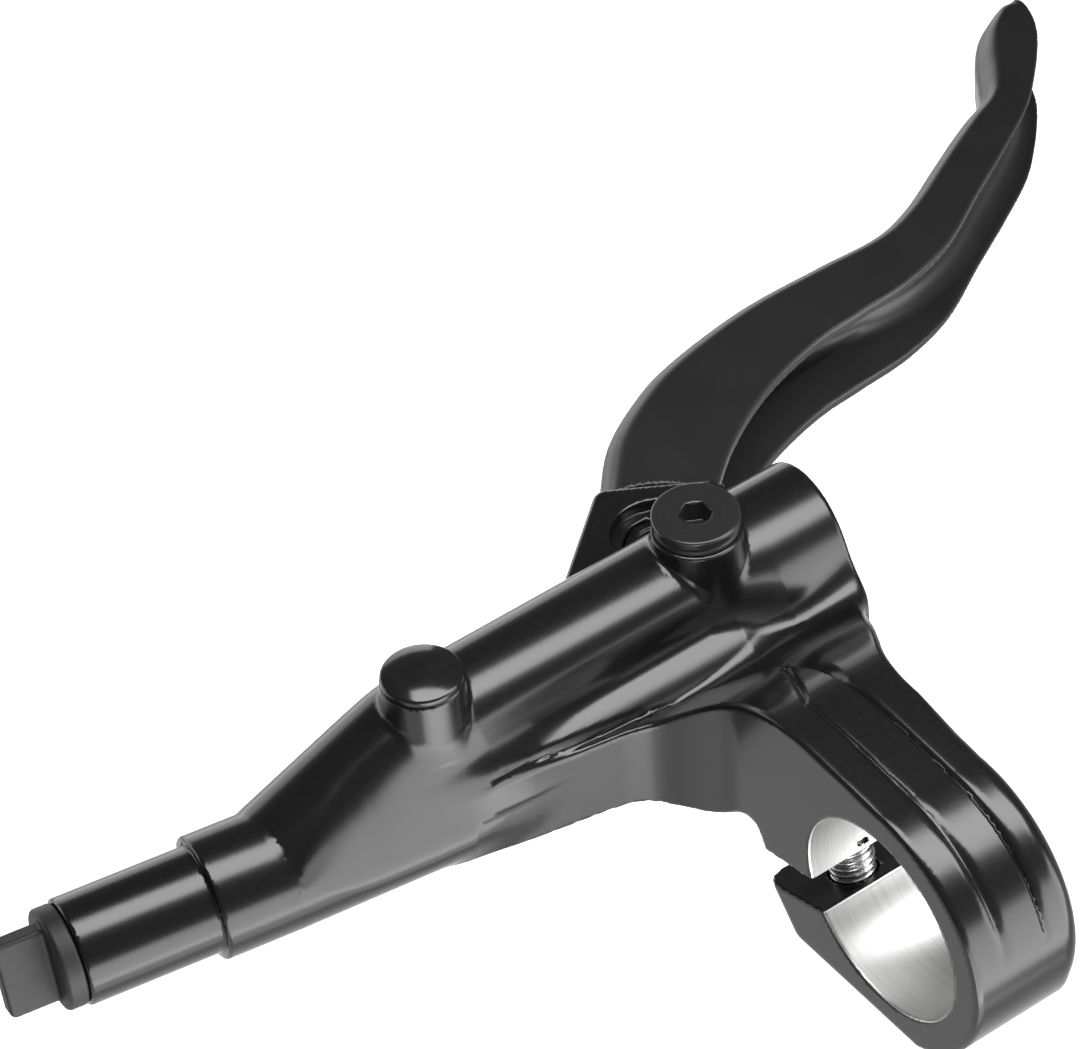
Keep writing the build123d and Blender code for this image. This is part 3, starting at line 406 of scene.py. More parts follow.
def cut_bores(solid, x, y, z, along, off, pin_off):
    """Machined bores, slit, blade slot and holes."""
    root = outline_field(x - PIVOT[0], y - PIVOT[1], SLOT_OUTLINE)
    root = np.minimum(root, pin_off - ROOT_ROOM_R)
    solid = cut(solid, np.maximum(root, np.abs(z - LEVER_Z) - SLOT_HALF), EDGE_BREAK)
    (x0, y0), (x1, y1) = CHAMBER
    chamber = np.maximum(slab(x, x0, x1), slab(y, y0, y1))
    solid = np.maximum(solid, -np.maximum(chamber, np.abs(z - LEVER_Z) - CHAMBER_HALF))
    tube_bore = np.maximum(np.hypot(y - TUBE[1], z - LEVER_Z) - TUBE_BORE_R, TUBE_BORE_END - x)
    tank_bore = np.maximum(np.hypot(y - TANK_Y, z - TANK_Z) - TANK_BORE_R, TANK_BORE_END - x)
    solid = cut(solid, np.minimum(tube_bore, tank_bore), EDGE_BREAK)
    port = np.maximum(off - STUB_BORE_R, COLLAR_LENGTH + STUB_LENGTH - STUB_BORE_DEPTH - along)
    solid = cut(solid, port, EDGE_BREAK)
    solid = np.maximum(solid, PIN_R - pin_off)
    solid = np.maximum(solid, -np.maximum(pin_off - PIN_HEAD_R, PIN_SEAT_Z - z))
    for spot, r in ((BLEED, BLEED_HOLE_R), (CAP, CAP_HOLE_R)):
        hole = np.hypot(x - spot[0], y - spot[1]) - r
        solid = np.maximum(solid, -np.maximum(hole, TANK_Z - z))
    solid = cut(solid, np.hypot(y, z) - BAR_R, EDGE_BREAK)
    (y0, z0), lean = SLIT_TOP
    above = (z - z0 - lean * (y - y0)) / math.hypot(1, lean)
    (y0, z0), lean = SLIT_LOW
    below = (z0 + lean * (y - y0) - z) / math.hypot(1, lean)
    slit = np.maximum(np.maximum(above, below), slab(y, *SLIT_REACH))
    solid = cut(solid, slit, SLIT_EDGE)
    up, round_bolt = bolt_frame(x, y, z)
    shank = np.maximum(round_bolt - BOLT_HOLE_R, up - BOLT_TOP)
    head = np.maximum(round_bolt - BOLT_HEAD_R, up - BOLT_SEAT)
    return np.maximum(solid, -np.minimum(shank, head))


def gradient(field, points, reach):
    """Slope of a field at points, by differences over a short reach."""
    slope = np.empty_like(points)
    for axis in range(3):
        ahead, behind = points.copy(), points.copy()
        ahead[:, axis] += reach
        behind[:, axis] -= reach
        slope[:, axis] = (field(*ahead.T) - field(*behind.T)) / (2 * reach)
    return slope


COARSE = 4
NEAR_CELLS = 6.0
PULLS = 3
PULL_REACH = 0.02
LEAST_SLOPE = 0.25
NORMAL_REACH = 0.06


def field_mesh(name, field, low, high, grid):
    """Quad mesh of a field's surface, with smooth normals taken from the field itself."""
    low = np.array(low, float) - 2 * grid
    counts = COARSE * np.ceil((np.array(high) + 2 * grid - low) / grid / COARSE).astype(int) + 1
    steps = [low[i] + grid * np.arange(counts[i]) for i in range(3)]
    corners = [(i, j, k) for i in (0, 1) for j in (0, 1) for k in (0, 1)]

    def shifted(array, corner):
        return array[tuple(slice(c, c + n - 1) for c, n in zip(corner, array.shape))]

    rough = field(*np.ix_(*[step[::COARSE] for step in steps]))
    near_by = np.any([np.abs(shifted(rough, c)) < NEAR_CELLS * grid for c in corners], axis=0)
    values = rough[:-1, :-1, :-1]
    for axis in range(3):
        values = np.repeat(values, COARSE, axis)
        near_by = np.repeat(near_by, COARSE, axis)
    values = np.pad(values, (0, 1), "edge")
    near_by = np.pad(near_by, (0, 1))
    for axis in range(3):
        near_by = near_by | np.roll(near_by, 1, axis)
    close = np.nonzero(near_by)
    values[close] = field(*[step[i] for step, i in zip(steps, close)])
    solid = values < 0
    filled = sum(shifted(solid, c).astype(np.int8) for c in corners)
    cells = np.argwhere((filled > 0) & (filled < 8))
    at = tuple(cells.T)
    corner_values = np.stack([shifted(values, c)[at] for c in corners], 1)
    total = np.zeros((len(cells), 3))
    hits = np.zeros(len(cells))
    for a in range(8):
        for b in range(a + 1, 8):
            if sum(abs(p - q) for p, q in zip(corners[a], corners[b])) != 1:
                continue
            va, vb = corner_values[:, a], corner_values[:, b]
            crossed = (va < 0) != (vb < 0)
            share = np.where(crossed, va / np.where(crossed, va - vb, 1), 0)
            spot = np.array(corners[a]) + share[:, None] * (np.array(corners[b]) - np.array(corners[a]))
            total += np.where(crossed[:, None], spot, 0)
            hits += crossed
    start = low + grid * (cells + total / hits[:, None])
    points = start.copy()
    for _ in range(PULLS):
        slope = gradient(field, points, PULL_REACH)
        size = np.maximum((slope**2).sum(1), LEAST_SLOPE)
        points -= (field(*points.T) / size)[:, None] * slope
        points = start + np.clip(points - start, -grid, grid)
    number = np.full([n - 1 for n in counts], -1, np.int64)
    number[at] = np.arange(len(cells))
    quads = []
    for axis in range(3):
        u, v = (axis + 1) % 3, (axis + 2) % 3
        ends = [slice(None)] * 3
        ends[axis] = slice(0, -1)
        nexts = list(ends)
        nexts[axis] = slice(1, None)
        first, second = solid[tuple(ends)], solid[tuple(nexts)]
        edges = np.argwhere(first != second)
        outward = first[tuple(edges.T)]
        ring = []
        for du, dv in ((-1, -1), (0, -1), (0, 0), (-1, 0)):
            cell = edges.copy()
            cell[:, u] += du
            cell[:, v] += dv
            ring.append(number[tuple(cell.T)])
        ring = np.stack(ring, 1)
        quads.append(np.where(outward[:, None], ring, ring[:, ::-1]))
    quads = np.concatenate(quads)
    normals = gradient(field, points, NORMAL_REACH)
    normals /= np.maximum(np.linalg.norm(normals, axis=1), 1e-9)[:, None]
    mesh = bpy.data.meshes.new(name)
    mesh.vertices.add(len(points))
    mesh.vertices.foreach_set("co", (points * MM).ravel())
    mesh.loops.add(quads.size)
    mesh.loops.foreach_set("vertex_index", quads.ravel())
    mesh.polygons.add(len(quads))
    mesh.polygons.foreach_set("loop_start", np.arange(0, quads.size, 4))
    mesh.update(calc_edges=True)
    mesh.validate()
    mesh.polygons.foreach_set("use_smooth", np.ones(len(mesh.polygons), bool))
    mesh.normals_split_custom_set_from_vertices(normals)
    obj = bpy.data.objects.new(name, mesh)
    bpy.context.collection.objects.link(obj)
    return obj


body_low, body_high = box_mm("lever_body")
body = field_mesh("lever_body_forging", body_field, body_low, body_high, BODY_GRID)


COLOUR_A, COLOUR_B, COLOUR_OUT = 6, 7, 2


class Socket:
    """A shader value that can be used in plain arithmetic."""

    tree = None

    def __init__(self, socket):
        self.socket = socket

    @classmethod
    def node(cls, kind, settings=None, inputs=None, output=0):
        """Any node, by its type, with its settings and inputs."""
        made = cls.tree.nodes.new(kind)
        for name, value in (settings or {}).items():
            setattr(made, name, value)
        for name, value in (inputs or {}).items():
            if isinstance(value, Socket):
                cls.tree.links.new(value.socket, made.inputs[name])
            else:
                made.inputs[name].default_value = value
        return cls(made.outputs[output])

    def math(self, operation, other=0.0):
        return Socket.node("ShaderNodeMath", {"operation": operation}, {0: self, 1: other})

    def __add__(self, other):
        return self.math("ADD", other)

    def __sub__(self, other):
        return self.math("SUBTRACT", other)

    def __mul__(self, other):
        return self.math("MULTIPLY", other)

    def __rsub__(self, other):
        return Socket.node("ShaderNodeMath", {"operation": "SUBTRACT"}, {0: other, 1: self})

    __radd__ = __add__
    __rmul__ = __mul__

    def ramp(self, low, high, start=0.0, end=1.0):
        """This value carried from one span to another, and held at its ends."""
        inputs = {"Value": self, "From Min": low, "From Max": high, "To Min": start, "To Max": end}
        return Socket.node("ShaderNodeMapRange", {"interpolation_type": "SMOOTHSTEP"}, inputs)

    def tint(self, dark, light):
        """A colour between two, by this value."""
        ends = [tone if isinstance(tone, Socket) else (*tone, 1) for tone in (dark, light)]
        inputs = {0: self, COLOUR_A: ends[0], COLOUR_B: ends[1]}
        return Socket.node("ShaderNodeMix", {"data_type": "RGBA"}, inputs, COLOUR_OUT)


def new_finish(name):
    """A fresh material, its shader, and the place on the piece in millimetres."""
    material = bpy.data.materials.new(name)
    material.use_nodes = True
    Socket.tree = material.node_tree
    shader = material.node_tree.nodes["Principled BSDF"]
    place = Socket.node("ShaderNodeTexCoord", output="Object")
    scaled = Socket.node("ShaderNodeVectorMath", {"operation": "SCALE"}, {0: place, "Scale": 1 / MM})
    return material, shader, scaled


def split(place):
    """The three lengths of a place, along x, y and z."""
    axes = Socket.node("ShaderNodeSeparateXYZ", None, {0: place}).socket.node
    return [Socket(output) for output in axes.outputs]


def feed(shader, **values):
    """Give a shader its inputs, plain values or sockets."""
    for name, value in values.items():
        socket = shader.inputs[name.replace("_", " ")]
        if isinstance(value, Socket):
            Socket.tree.links.new(value.socket, socket)
        else:
            socket.default_value = value


def grain(place, scale, detail=4.0, rough=0.55):
    """Fine noise, its scale in grains per millimetre."""
    inputs = {"Vector": place, "Scale": scale, "Detail": detail, "Roughness": rough}
    return Socket.node("ShaderNodeTexNoise", None, inputs)


def bump(height, strength, depth):
    """Surface relief from a height, its depth in millimetres."""
    inputs = {"Height": height, "Strength": strength, "Distance": depth * MM}
    return Socket.node("ShaderNodeBump", None, inputs)


BARE_SKIN = 0.12
BARE_HALF = 6.72
material, shader, place = new_finish("semi_gloss_black_paint")
peel = grain(place, 1.6, 2.0)
speck = grain(place, 6.0, 3.0, 0.6)
along_bar, forward, upward = split(place)
bar_distance = (forward * forward + upward * upward).math("SQRT")
bare = bar_distance.math("LESS_THAN", BAR_R + BARE_SKIN)
bare = bare * along_bar.math("ABSOLUTE").math("LESS_THAN", BARE_HALF)
turning = Socket.node("ShaderNodeTexNoise", None, {"Vector": along_bar, "Scale": 9.0, "Detail": 3.0})
paint_tone = peel.ramp(0.3, 0.7).tint((0.0045, 0.0045, 0.0048), (0.006, 0.006, 0.0064))
metal_tone = turning.ramp(0.3, 0.7).tint((0.4, 0.4, 0.395), (0.62, 0.62, 0.61))
feed(
    shader,
    Base_Color=bare.tint(paint_tone, metal_tone),
    Metallic=bare,
    Roughness=speck.ramp(0.2, 0.8, 0.19, 0.25) + bare * turning.ramp(0.2, 0.8, 0.1, 0.26),
    Normal=bump(peel * 0.7 + speck * 0.3 + bare * turning * 2.0, 0.1, 0.02),
)
body.data.materials.append(material)
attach(body, "body")
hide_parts("lever_body")

# Blade: a forged aluminium channel, open to the rear, satin black.
# Its flanges run out to the hooked tip; the root is a plate between the ears.
# The root turns on two bushes and carries the push arm inside the body.
BLADE_GRID = 0.4
BLADE_HALF = 5.8
FRONT_ROUND = ((70.0, 82.0), (3.2, 4.2))
REAR_ROUND = 0.45
ROUND_RAMP = (1.6, 0.4)
LIP = ((15.0, 45.0, 88.0), (1.4, 1.3, 0.65))
FLANGE_THICKENS = 0.22
FLANGE_MOST = 2.4
CHANNEL_ROUND = 1.9
CHANNEL_EDGE = 0.2
STEP_R = 10.2
STEP_EDGE = 0.25
ROOT_HALF = 3.6
ROOT_OUTLINE = ((-4.3, 1.3), (1.0, 12.4), (8.0, 14.0), (13.0, 6.0), (2.2, -3.9))
ROOT_R = 4.5
ROOT_EDGE = 0.3
BUSH_R = 3.27
PUSH_SWING = math.radians(10.0)
PUSH_ARM = ((-3.6, 0.9), (-2.9, 10.05), 3.2)
SCREW_R = 2.02
SCREW_SPAN = (-9.0, 2.0)
FRONT_RUN = (
    (2.7, 58.5),
    (5.9, 62.1),
    (10.9, 67.4),
    (17.2, 71.2),
    (22.0, 73.1),
    (34.4, 75.4),
    (45.5, 75.5),
    (53.7, 75.4),
    (59.0, 77.0),
    (66.2, 80.7),
    (73.7, 84.6),
    (77.9, 86.6),
    (80.2, 89.4),
    (82.9, 93.2),
    (86.1, 96.3),
    (89.8, 97.7),
    (91.7, 97.0),
)
REAR_RUN = (
    (91.7, 97.0),
    (92.1, 95.6),
    (91.5, 93.3),
    (90.0, 90.5),
    (87.6, 87.6),
    (85.0, 84.9),
    (80.6, 81.0),
    (74.3, 77.1),
    (66.6, 72.8),
    (57.9, 67.9),
    (50.4, 65.7),
    (44.0, 65.1),
    (37.0, 64.4),
    (27.7, 61.6),
    (20.3, 57.5),
    (15.7, 53.9),
    (12.3, 51.3),
)
FLOOR_RUN = (
    (8.3, 53.8),
    (12.5, 59.5),
    (20.0, 66.5),
    (30.0, 71.0),
    (40.0, 72.0),
    (46.0, 71.6),
    (51.0, 71.2),
    (57.0, 71.9),
    (63.0, 73.8),
    (70.0, 77.8),
    (76.0, 81.2),
    (81.5, 85.0),
    (85.5, 88.8),
    (88.8, 93.2),
    (89.2, 94.6),
)


blade_front = smooth_run(FRONT_RUN, 0.9)
blade_rear = smooth_run(REAR_RUN, 0.9)
blade_floor = smooth_run(FLOOR_RUN, 0.9)
blade_outline = blade_front + blade_rear[1:]
channel_outline = blade_floor + ((95.0, 95.0), (95.0, 40.0), (8.3, 40.0))


def blade_field(x, y, z):
    """Blade, root plate and push arm, less the channel, the pin's step and the two holes."""
    off = outline_field(x, y, blade_outline)
    from_rear = line_distance(x, y, blade_rear)
    ahead = from_rear / (from_rear + line_distance(x, y, blade_front) + 1e-6)
    forward_share = np.clip(ROUND_RAMP[0] * ahead - ROUND_RAMP[1], 0, 1)
    edge = REAR_ROUND + (np.interp(x, *FRONT_ROUND) - REAR_ROUND) * forward_share
    height = np.abs(z - LEVER_Z)
    solid = meet(off, height - BLADE_HALF, edge)
    flange = np.minimum(np.interp(x, *LIP) + FLANGE_THICKENS * from_rear, FLANGE_MOST)
    channel = outline_field(x, y, channel_outline)
    channel = meet(channel, height - BLADE_HALF + flange, CHANNEL_ROUND)
    solid = cut(solid, channel, CHANNEL_EDGE)
    px, py = x - PIVOT[0], y - PIVOT[1]
    pin_off = np.hypot(px, py)
    solid = cut(solid, pin_off - STEP_R, STEP_EDGE)
    root = np.minimum(outline_field(px, py, ROOT_OUTLINE), pin_off - ROOT_R)
    root = meet(root, height - ROOT_HALF, ROOT_EDGE)
    (back_end, front_end), (low_end, high_end), arm_half = PUSH_ARM
    tip_x = PIVOT[0] + (PIVOT[1] - TUBE[1]) * math.tan(PUSH_SWING)
    dx, dy = x - tip_x, y - TUBE[1]
    forward = -dx * math.cos(PUSH_SWING) - dy * math.sin(PUSH_SWING)
    across = -dx * math.sin(PUSH_SWING) + dy * math.cos(PUSH_SWING)
    arm = np.maximum(slab(forward, back_end, front_end), slab(across, low_end, high_end))
    arm = meet(arm, height - arm_half, ROOT_EDGE)
    solid = np.minimum(solid, np.minimum(root, arm))
    solid = np.maximum(solid, BUSH_R - pin_off)
    hole = np.hypot(across, z - LEVER_Z) - SCREW_R
    return np.maximum(solid, -np.maximum(hole, slab(forward, *SCREW_SPAN)))


blade_low, blade_high = box_mm("lever_blade")
blade = field_mesh("lever_blade_forging", blade_field, blade_low, blade_high, BLADE_GRID)
material, shader, place = new_finish("satin_black_anodising")
cloud = grain(place, 0.12, 3.0)
blast = grain(place, 7.0, 3.0, 0.6)
feed(
    shader,
    Base_Color=cloud.ramp(0.3, 0.7).tint((0.0105, 0.0105, 0.011), (0.0135, 0.0135, 0.014)),
    Roughness=blast.ramp(0.2, 0.8, 0.34, 0.44),
    Normal=bump(blast, 0.3, 0.012),
)
blade.data.materials.append(material)
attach(blade, "blade")
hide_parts("lever_blade")

# Bleed screw: turned aluminium, black, with a hexagon socket.
# The head is a thick disc with broken edges, tightened on to a rubber seal on the outboard boss.
# Its shank is threaded into the reservoir.
SMALL_GRID = 0.13
HEAD_BREAK = 0.3
HEX_HALF = 1.5
HEX_DEPTH = 2.4
BLEED_SHANK_R = 2.6
MOUTH_WIDER = 1.15
MOUTH_DEPTH = 0.35
SOCKET_EDGE = 0.08
SEAT_GAP = 0.02
SHANK_LAP = 0.5
SEAL_ROUND = 0.3


def hexagon(u, v, half):
    """Distance to a hexagon by its half width across the flats."""
    turned = [np.abs(u * math.cos(a) + v * math.sin(a)) for a in (0.0, math.pi / 3, 2 * math.pi / 3)]
    return np.maximum(np.maximum(turned[0], turned[1]), turned[2]) - half


bleed_low, bleed_high = box_mm("bleed_screw")
seal_low, seal_high = box_mm("bleed_seal")


def bleed_field(x, y, z):
    u, v = x - BLEED[0], y - BLEED[1]
    off = np.hypot(u, v)
    head_r = (bleed_high[0] - bleed_low[0]) / 2
    head = meet(off - head_r, slab(z, seal_high[2] + SEAT_GAP, bleed_high[2]), HEAD_BREAK)
    shank = np.maximum(off - BLEED_SHANK_R, slab(z, bleed_low[2], seal_high[2] + SHANK_LAP))
    socket = np.maximum(hexagon(u, v, HEX_HALF), bleed_high[2] - HEX_DEPTH - z)
    mouth = off - HEX_HALF * MOUTH_WIDER - (z - bleed_high[2])
    mouth = np.maximum(mouth, bleed_high[2] - MOUTH_DEPTH - z)
    return cut(np.minimum(head, shank), np.minimum(socket, mouth), SOCKET_EDGE)


bleed = field_mesh("bleed_screw_turned", bleed_field, bleed_low, bleed_high, SMALL_GRID)
material, shader, place = new_finish("turned_black_aluminium")
along_x, along_y, _ = split(place)
from_x, from_y = along_x - BLEED[0], along_y - BLEED[1]
bleed_off = (from_x * from_x + from_y * from_y).math("SQRT")
ring_inputs = {"W": bleed_off, "Scale": 7.0, "Detail": 3.0}
rings = Socket.node("ShaderNodeTexNoise", {"noise_dimensions": "1D"}, ring_inputs)
speck = grain(place, 9.0, 3.0)
feed(
    shader,
    Base_Color=rings.ramp(0.3, 0.7).tint((0.011, 0.011, 0.0115), (0.018, 0.018, 0.0185)),
    Roughness=speck.ramp(0.2, 0.8, 0.2, 0.28),
    Normal=bump(rings * 0.6 + speck * 0.4, 0.3, 0.02),
)
bleed.data.materials.append(material)
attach(bleed, "body")
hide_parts("bleed_screw")


def seal_field(x, y, z):
    off = np.hypot(x - BLEED[0], y - BLEED[1])
    outer = off - (seal_high[0] - seal_low[0]) / 2
    ring = meet(outer, slab(z, seal_low[2], seal_high[2]), SEAL_ROUND)
    return np.maximum(ring, BLEED_SHANK_R + SEAT_GAP - off)


seal = field_mesh("bleed_seal_ring", seal_field, seal_low, seal_high, SMALL_GRID)


def rubber_finish(name, tone, rough):
    """Moulded rubber: dark, even, with a fine matt grain."""
    material, shader, place = new_finish(name)
    fine = grain(place, 5.0, 4.0)
    light = tuple(1.35 * t for t in tone)
    feed(
        shader,
        Base_Color=fine.ramp(0.3, 0.7).tint(tone, light),
        Roughness=fine.ramp(0.2, 0.8, rough - 0.06, rough + 0.06),
        Normal=bump(fine, 0.25, 0.015),
    )
    return material


black_rubber = rubber_finish("black_rubber", (0.012, 0.012, 0.0125), 0.45)
seal.data.materials.append(black_rubber)
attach(seal, "body")
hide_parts("bleed_seal")

# Port cap: a moulded black plug with a low domed head, pressed into the inboard boss.
# Its skin is smooth and glossier than the paint.
cap_low, cap_high = box_mm("port_cap")
CAP_CROWN = 1.0
CAP_HEIGHT = 1.5
CAP_PROUD = 0.2
CAP_STEM_R = 2.7
CAP_EDGE = 0.22
CAP_RIM_EDGE = 0.15


def cap_field(x, y, z):
    off = np.hypot(x - CAP[0], y - CAP[1])
    r = (cap_high[0] - cap_low[0]) / 2
    rim_z = cap_high[2] - CAP_HEIGHT
    dome_r = (r * r + CAP_CROWN * CAP_CROWN) / (2 * CAP_CROWN)
    dome = np.hypot(off, z - cap_high[2] - CAP_PROUD + dome_r) - dome_r
    head = meet(meet(off - r, dome, CAP_EDGE), rim_z - z, CAP_RIM_EDGE)
    stem = np.maximum(off - CAP_STEM_R, slab(z, cap_low[2], rim_z + SHANK_LAP))
    return np.minimum(head, stem)


cap = field_mesh("port_cap_moulded", cap_field, cap_low, cap_high, SMALL_GRID)
material, shader, place = new_finish("gloss_black_moulding")
cloud = grain(place, 0.5, 2.0)
fine = grain(place, 4.0, 2.0)
feed(
    shader,
    Base_Color=cloud.ramp(0.3, 0.7).tint((0.006, 0.006, 0.0063), (0.0085, 0.0085, 0.009)),
    Roughness=fine.ramp(0.2, 0.8, 0.13, 0.18),
    Normal=bump(cloud * 0.7 + fine * 0.3, 0.15, 0.02),
)
cap.data.materials.append(material)
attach(cap, "body")
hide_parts("port_cap")

# Hose-port plug: moulded grey-black plastic, pushed into the port by hand.
# A shank sits in the port and a disc against it; a flat tab pulls it out when a hose is fitted.
PLUG_GRID = 0.16
PLUG_DISC_R = 5.3
PLUG_DISC_T = 2.2
PLUG_SHANK_LENGTH = 8.0
TAB_HALF = (4.2, 1.05)
TAB_LENGTH = 5.2
TAB_TURN = math.radians(15.0)
TAB_CORNER = 0.7
TAB_EDGE = 0.35
TAB_FOOT = 1.0
PLUG_EDGE = 0.45


def plug_field(x, y, z):
    dx, dy, dz = x - COLLAR_START[0], y - COLLAR_START[1], z - LEVER_Z
    along, off = hose_frame(x, y, z)
    along = along - COLLAR_LENGTH - STUB_LENGTH
    side_way = dx * math.sin(HOSE_YAW) + dy * math.cos(HOSE_YAW)
    wide = dz * math.cos(TAB_TURN) + side_way * math.sin(TAB_TURN)
    thick = -dz * math.sin(TAB_TURN) + side_way * math.cos(TAB_TURN)
    disc = meet(off - PLUG_DISC_R, slab(along, SEAT_GAP, PLUG_DISC_T), PLUG_EDGE)
    shank = np.maximum(off - STUB_BORE_R + SEAT_GAP, slab(along, -PLUG_SHANK_LENGTH, SHANK_LAP))
    end = PLUG_DISC_T + TAB_LENGTH
    tab = meet(np.abs(wide) - TAB_HALF[0], along - end, TAB_CORNER)
    tab = meet(tab, np.abs(thick) - TAB_HALF[1], TAB_EDGE)
    tab = np.maximum(tab, TAB_FOOT - along)
    return np.minimum(join(disc, tab, TAB_EDGE), shank)


plug_low, plug_high = box_mm("hose_plug")
plug = field_mesh("hose_plug_moulded", plug_field, plug_low, plug_high, PLUG_GRID)
material, shader, place = new_finish("matt_grey_plastic")
cloud = grain(place, 0.4, 3.0)
fine = grain(place, 6.0, 3.0)
feed(
    shader,
    Base_Color=cloud.ramp(0.3, 0.7).tint((0.006, 0.006, 0.0063), (0.009, 0.009, 0.0093)),
    Roughness=fine.ramp(0.2, 0.8, 0.5, 0.62),
    Normal=bump(fine, 0.35, 0.02),
)
plug.data.materials.append(material)
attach(plug, "body")
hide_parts("hose_plug")

# Pivot pin: turned steel, blacked, dropped through ears and bushes from above.
# Its flat head sits in the pocket of the upper ear; a clip below keeps it in.
pin_low, pin_high = box_mm("pivot_pin")
PIN_HEAD_T = 1.1
PIN_SHAFT_R = 2.5
PIN_RING = (2.3, 0.25)
PIN_HEAD_EDGE = 0.25
PIN_EDGE = 0.3
RING_EDGE = 0.08


def pin_field(x, y, z):
    off = np.hypot(x - PIVOT[0], y - PIVOT[1])
    head_r = (pin_high[0] - pin_low[0]) / 2
    head = meet(off - head_r, slab(z, pin_high[2] - PIN_HEAD_T, pin_high[2]), PIN_HEAD_EDGE)
    ring = np.hypot(off - PIN_RING[0], z - pin_high[2]) - PIN_RING[1]
    shaft = meet(off - PIN_SHAFT_R, slab(z, pin_low[2], pin_high[2] - SHANK_LAP), PIN_EDGE)
    return np.minimum(cut(head, ring, RING_EDGE), shaft)


pin = field_mesh("pivot_pin_turned", pin_field, pin_low, pin_high, SMALL_GRID)


def metal_finish(name, dark, light, rough, spread=0.08):
    """Bare or plated metal with a fine cloudy grain."""
    material, shader, place = new_finish(name)
    cloud = grain(place, 1.2, 4.0)
    fine = grain(place, 9.0, 3.0)
    feed(
        shader,
        Base_Color=cloud.ramp(0.3, 0.7).tint(dark, light),
        Metallic=1.0,
        Roughness=fine.ramp(0.2, 0.8, rough - spread, rough + spread),
        Normal=bump(fine, 0.25, 0.012),
    )
    return material


blacked_steel = metal_finish("blacked_steel", (0.035, 0.035, 0.037), (0.06, 0.06, 0.062), 0.38)
pin.data.materials.append(blacked_steel)
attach(pin, "body")
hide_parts("pivot_pin")

# Clamp bolt: a bright steel socket screw that goes up through the lower jaw into the arm.
# The thread is a ridge that winds round the shank, swept along a spiral.
bolt_low, bolt_high = box_mm("clamp_bolt")
BOLT_R = 2.5
BOLT_CORE_R = 2.15
BOLT_HEAD_H = 4.6
BOLT_HEAD_BREAK = 0.4
BOLT_WASHER_T = 0.85
BOLT_PITCH = 0.8
BOLT_GRID = 0.16
BOLT_SOCKET_HALF = 2.0
BOLT_SOCKET_DEPTH = 2.5
BOLT_SOCKET_EDGE = 0.1
BOLT_TIP = 6.5
BOLT_TIP_BREAK = 0.2
THREAD_GAP = 0.3
THREAD_RUNOUT = 0.4
bolt_head_top = BOLT_SEAT - BOLT_WASHER_T
bolt_foot = bolt_head_top - BOLT_HEAD_H


def bolt_field(x, y, z):
    rise_up, off = bolt_frame(x, y, z)
    out = y * math.cos(BOLT_TILT) - z * math.sin(BOLT_TILT) - BOLT_OFFSET
    head_r = (bolt_high[0] - bolt_low[0]) / 2
    head = meet(off - head_r, slab(rise_up, bolt_foot, bolt_head_top), BOLT_HEAD_BREAK)
    socket = np.maximum(hexagon(x, out, BOLT_SOCKET_HALF), rise_up - bolt_foot - BOLT_SOCKET_DEPTH)
    shank = meet(off - BOLT_CORE_R, slab(rise_up, bolt_head_top - SHANK_LAP, BOLT_TIP), BOLT_TIP_BREAK)
    return np.minimum(cut(head, socket, BOLT_SOCKET_EDGE), shank)


bolt = field_mesh("clamp_bolt_turned", bolt_field, bolt_low, bolt_high, BOLT_GRID)
bright_steel = metal_finish("bright_steel", (0.55, 0.55, 0.55), (0.7, 0.7, 0.69), 0.27)
bolt.data.materials.append(bright_steel)
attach(bolt, "body")
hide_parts("clamp_bolt")


def thread_tree(name, material):
    """Node tree for a thread: a spiral with a pointed ridge swept along it."""
    tree = bpy.data.node_groups.new(name, "GeometryNodeTree")
    tree.interface.new_socket("Geometry", in_out="OUTPUT", socket_type="NodeSocketGeometry")
    sizes = {}
    for title, value in (("Core Radius", 2.0), ("Ridge", 0.3), ("Pitch", 0.8), ("Turns", 5.0)):
        socket = tree.interface.new_socket(title, in_out="INPUT", socket_type="NodeSocketFloat")
        socket.default_value = value
        sizes[title] = socket.identifier
    given = tree.nodes.new("NodeGroupInput")
    spiral = tree.nodes.new("GeometryNodeCurveSpiral")
    spiral.inputs["Resolution"].default_value = 28
    for end in ("Start Radius", "End Radius"):
        tree.links.new(given.outputs["Core Radius"], spiral.inputs[end])
    tree.links.new(given.outputs["Turns"], spiral.inputs["Rotations"])
    tall = tree.nodes.new("ShaderNodeMath")
    tall.operation = "MULTIPLY"
    tree.links.new(given.outputs["Pitch"], tall.inputs[0])
    tree.links.new(given.outputs["Turns"], tall.inputs[1])
    tree.links.new(tall.outputs[0], spiral.inputs["Height"])
    ridge = tree.nodes.new("GeometryNodeCurvePrimitiveCircle")
    ridge.inputs["Resolution"].default_value = 4
    tree.links.new(given.outputs["Ridge"], ridge.inputs["Radius"])
    sweep = tree.nodes.new("GeometryNodeCurveToMesh")
    sweep.inputs["Fill Caps"].default_value = True
    tree.links.new(spiral.outputs["Curve"], sweep.inputs["Curve"])
    tree.links.new(ridge.outputs["Curve"], sweep.inputs["Profile Curve"])
    real = tree.nodes.new("GeometryNodeRealizeInstances")
    tree.links.new(sweep.outputs["Mesh"], real.inputs["Geometry"])
    dress = tree.nodes.new("GeometryNodeSetMaterial")
    dress.inputs["Material"].default_value = material
    tree.links.new(real.outputs["Geometry"], dress.inputs["Geometry"])
    result = tree.nodes.new("NodeGroupOutput")
    tree.links.new(dress.outputs["Geometry"], result.inputs["Geometry"])
    return tree, sizes


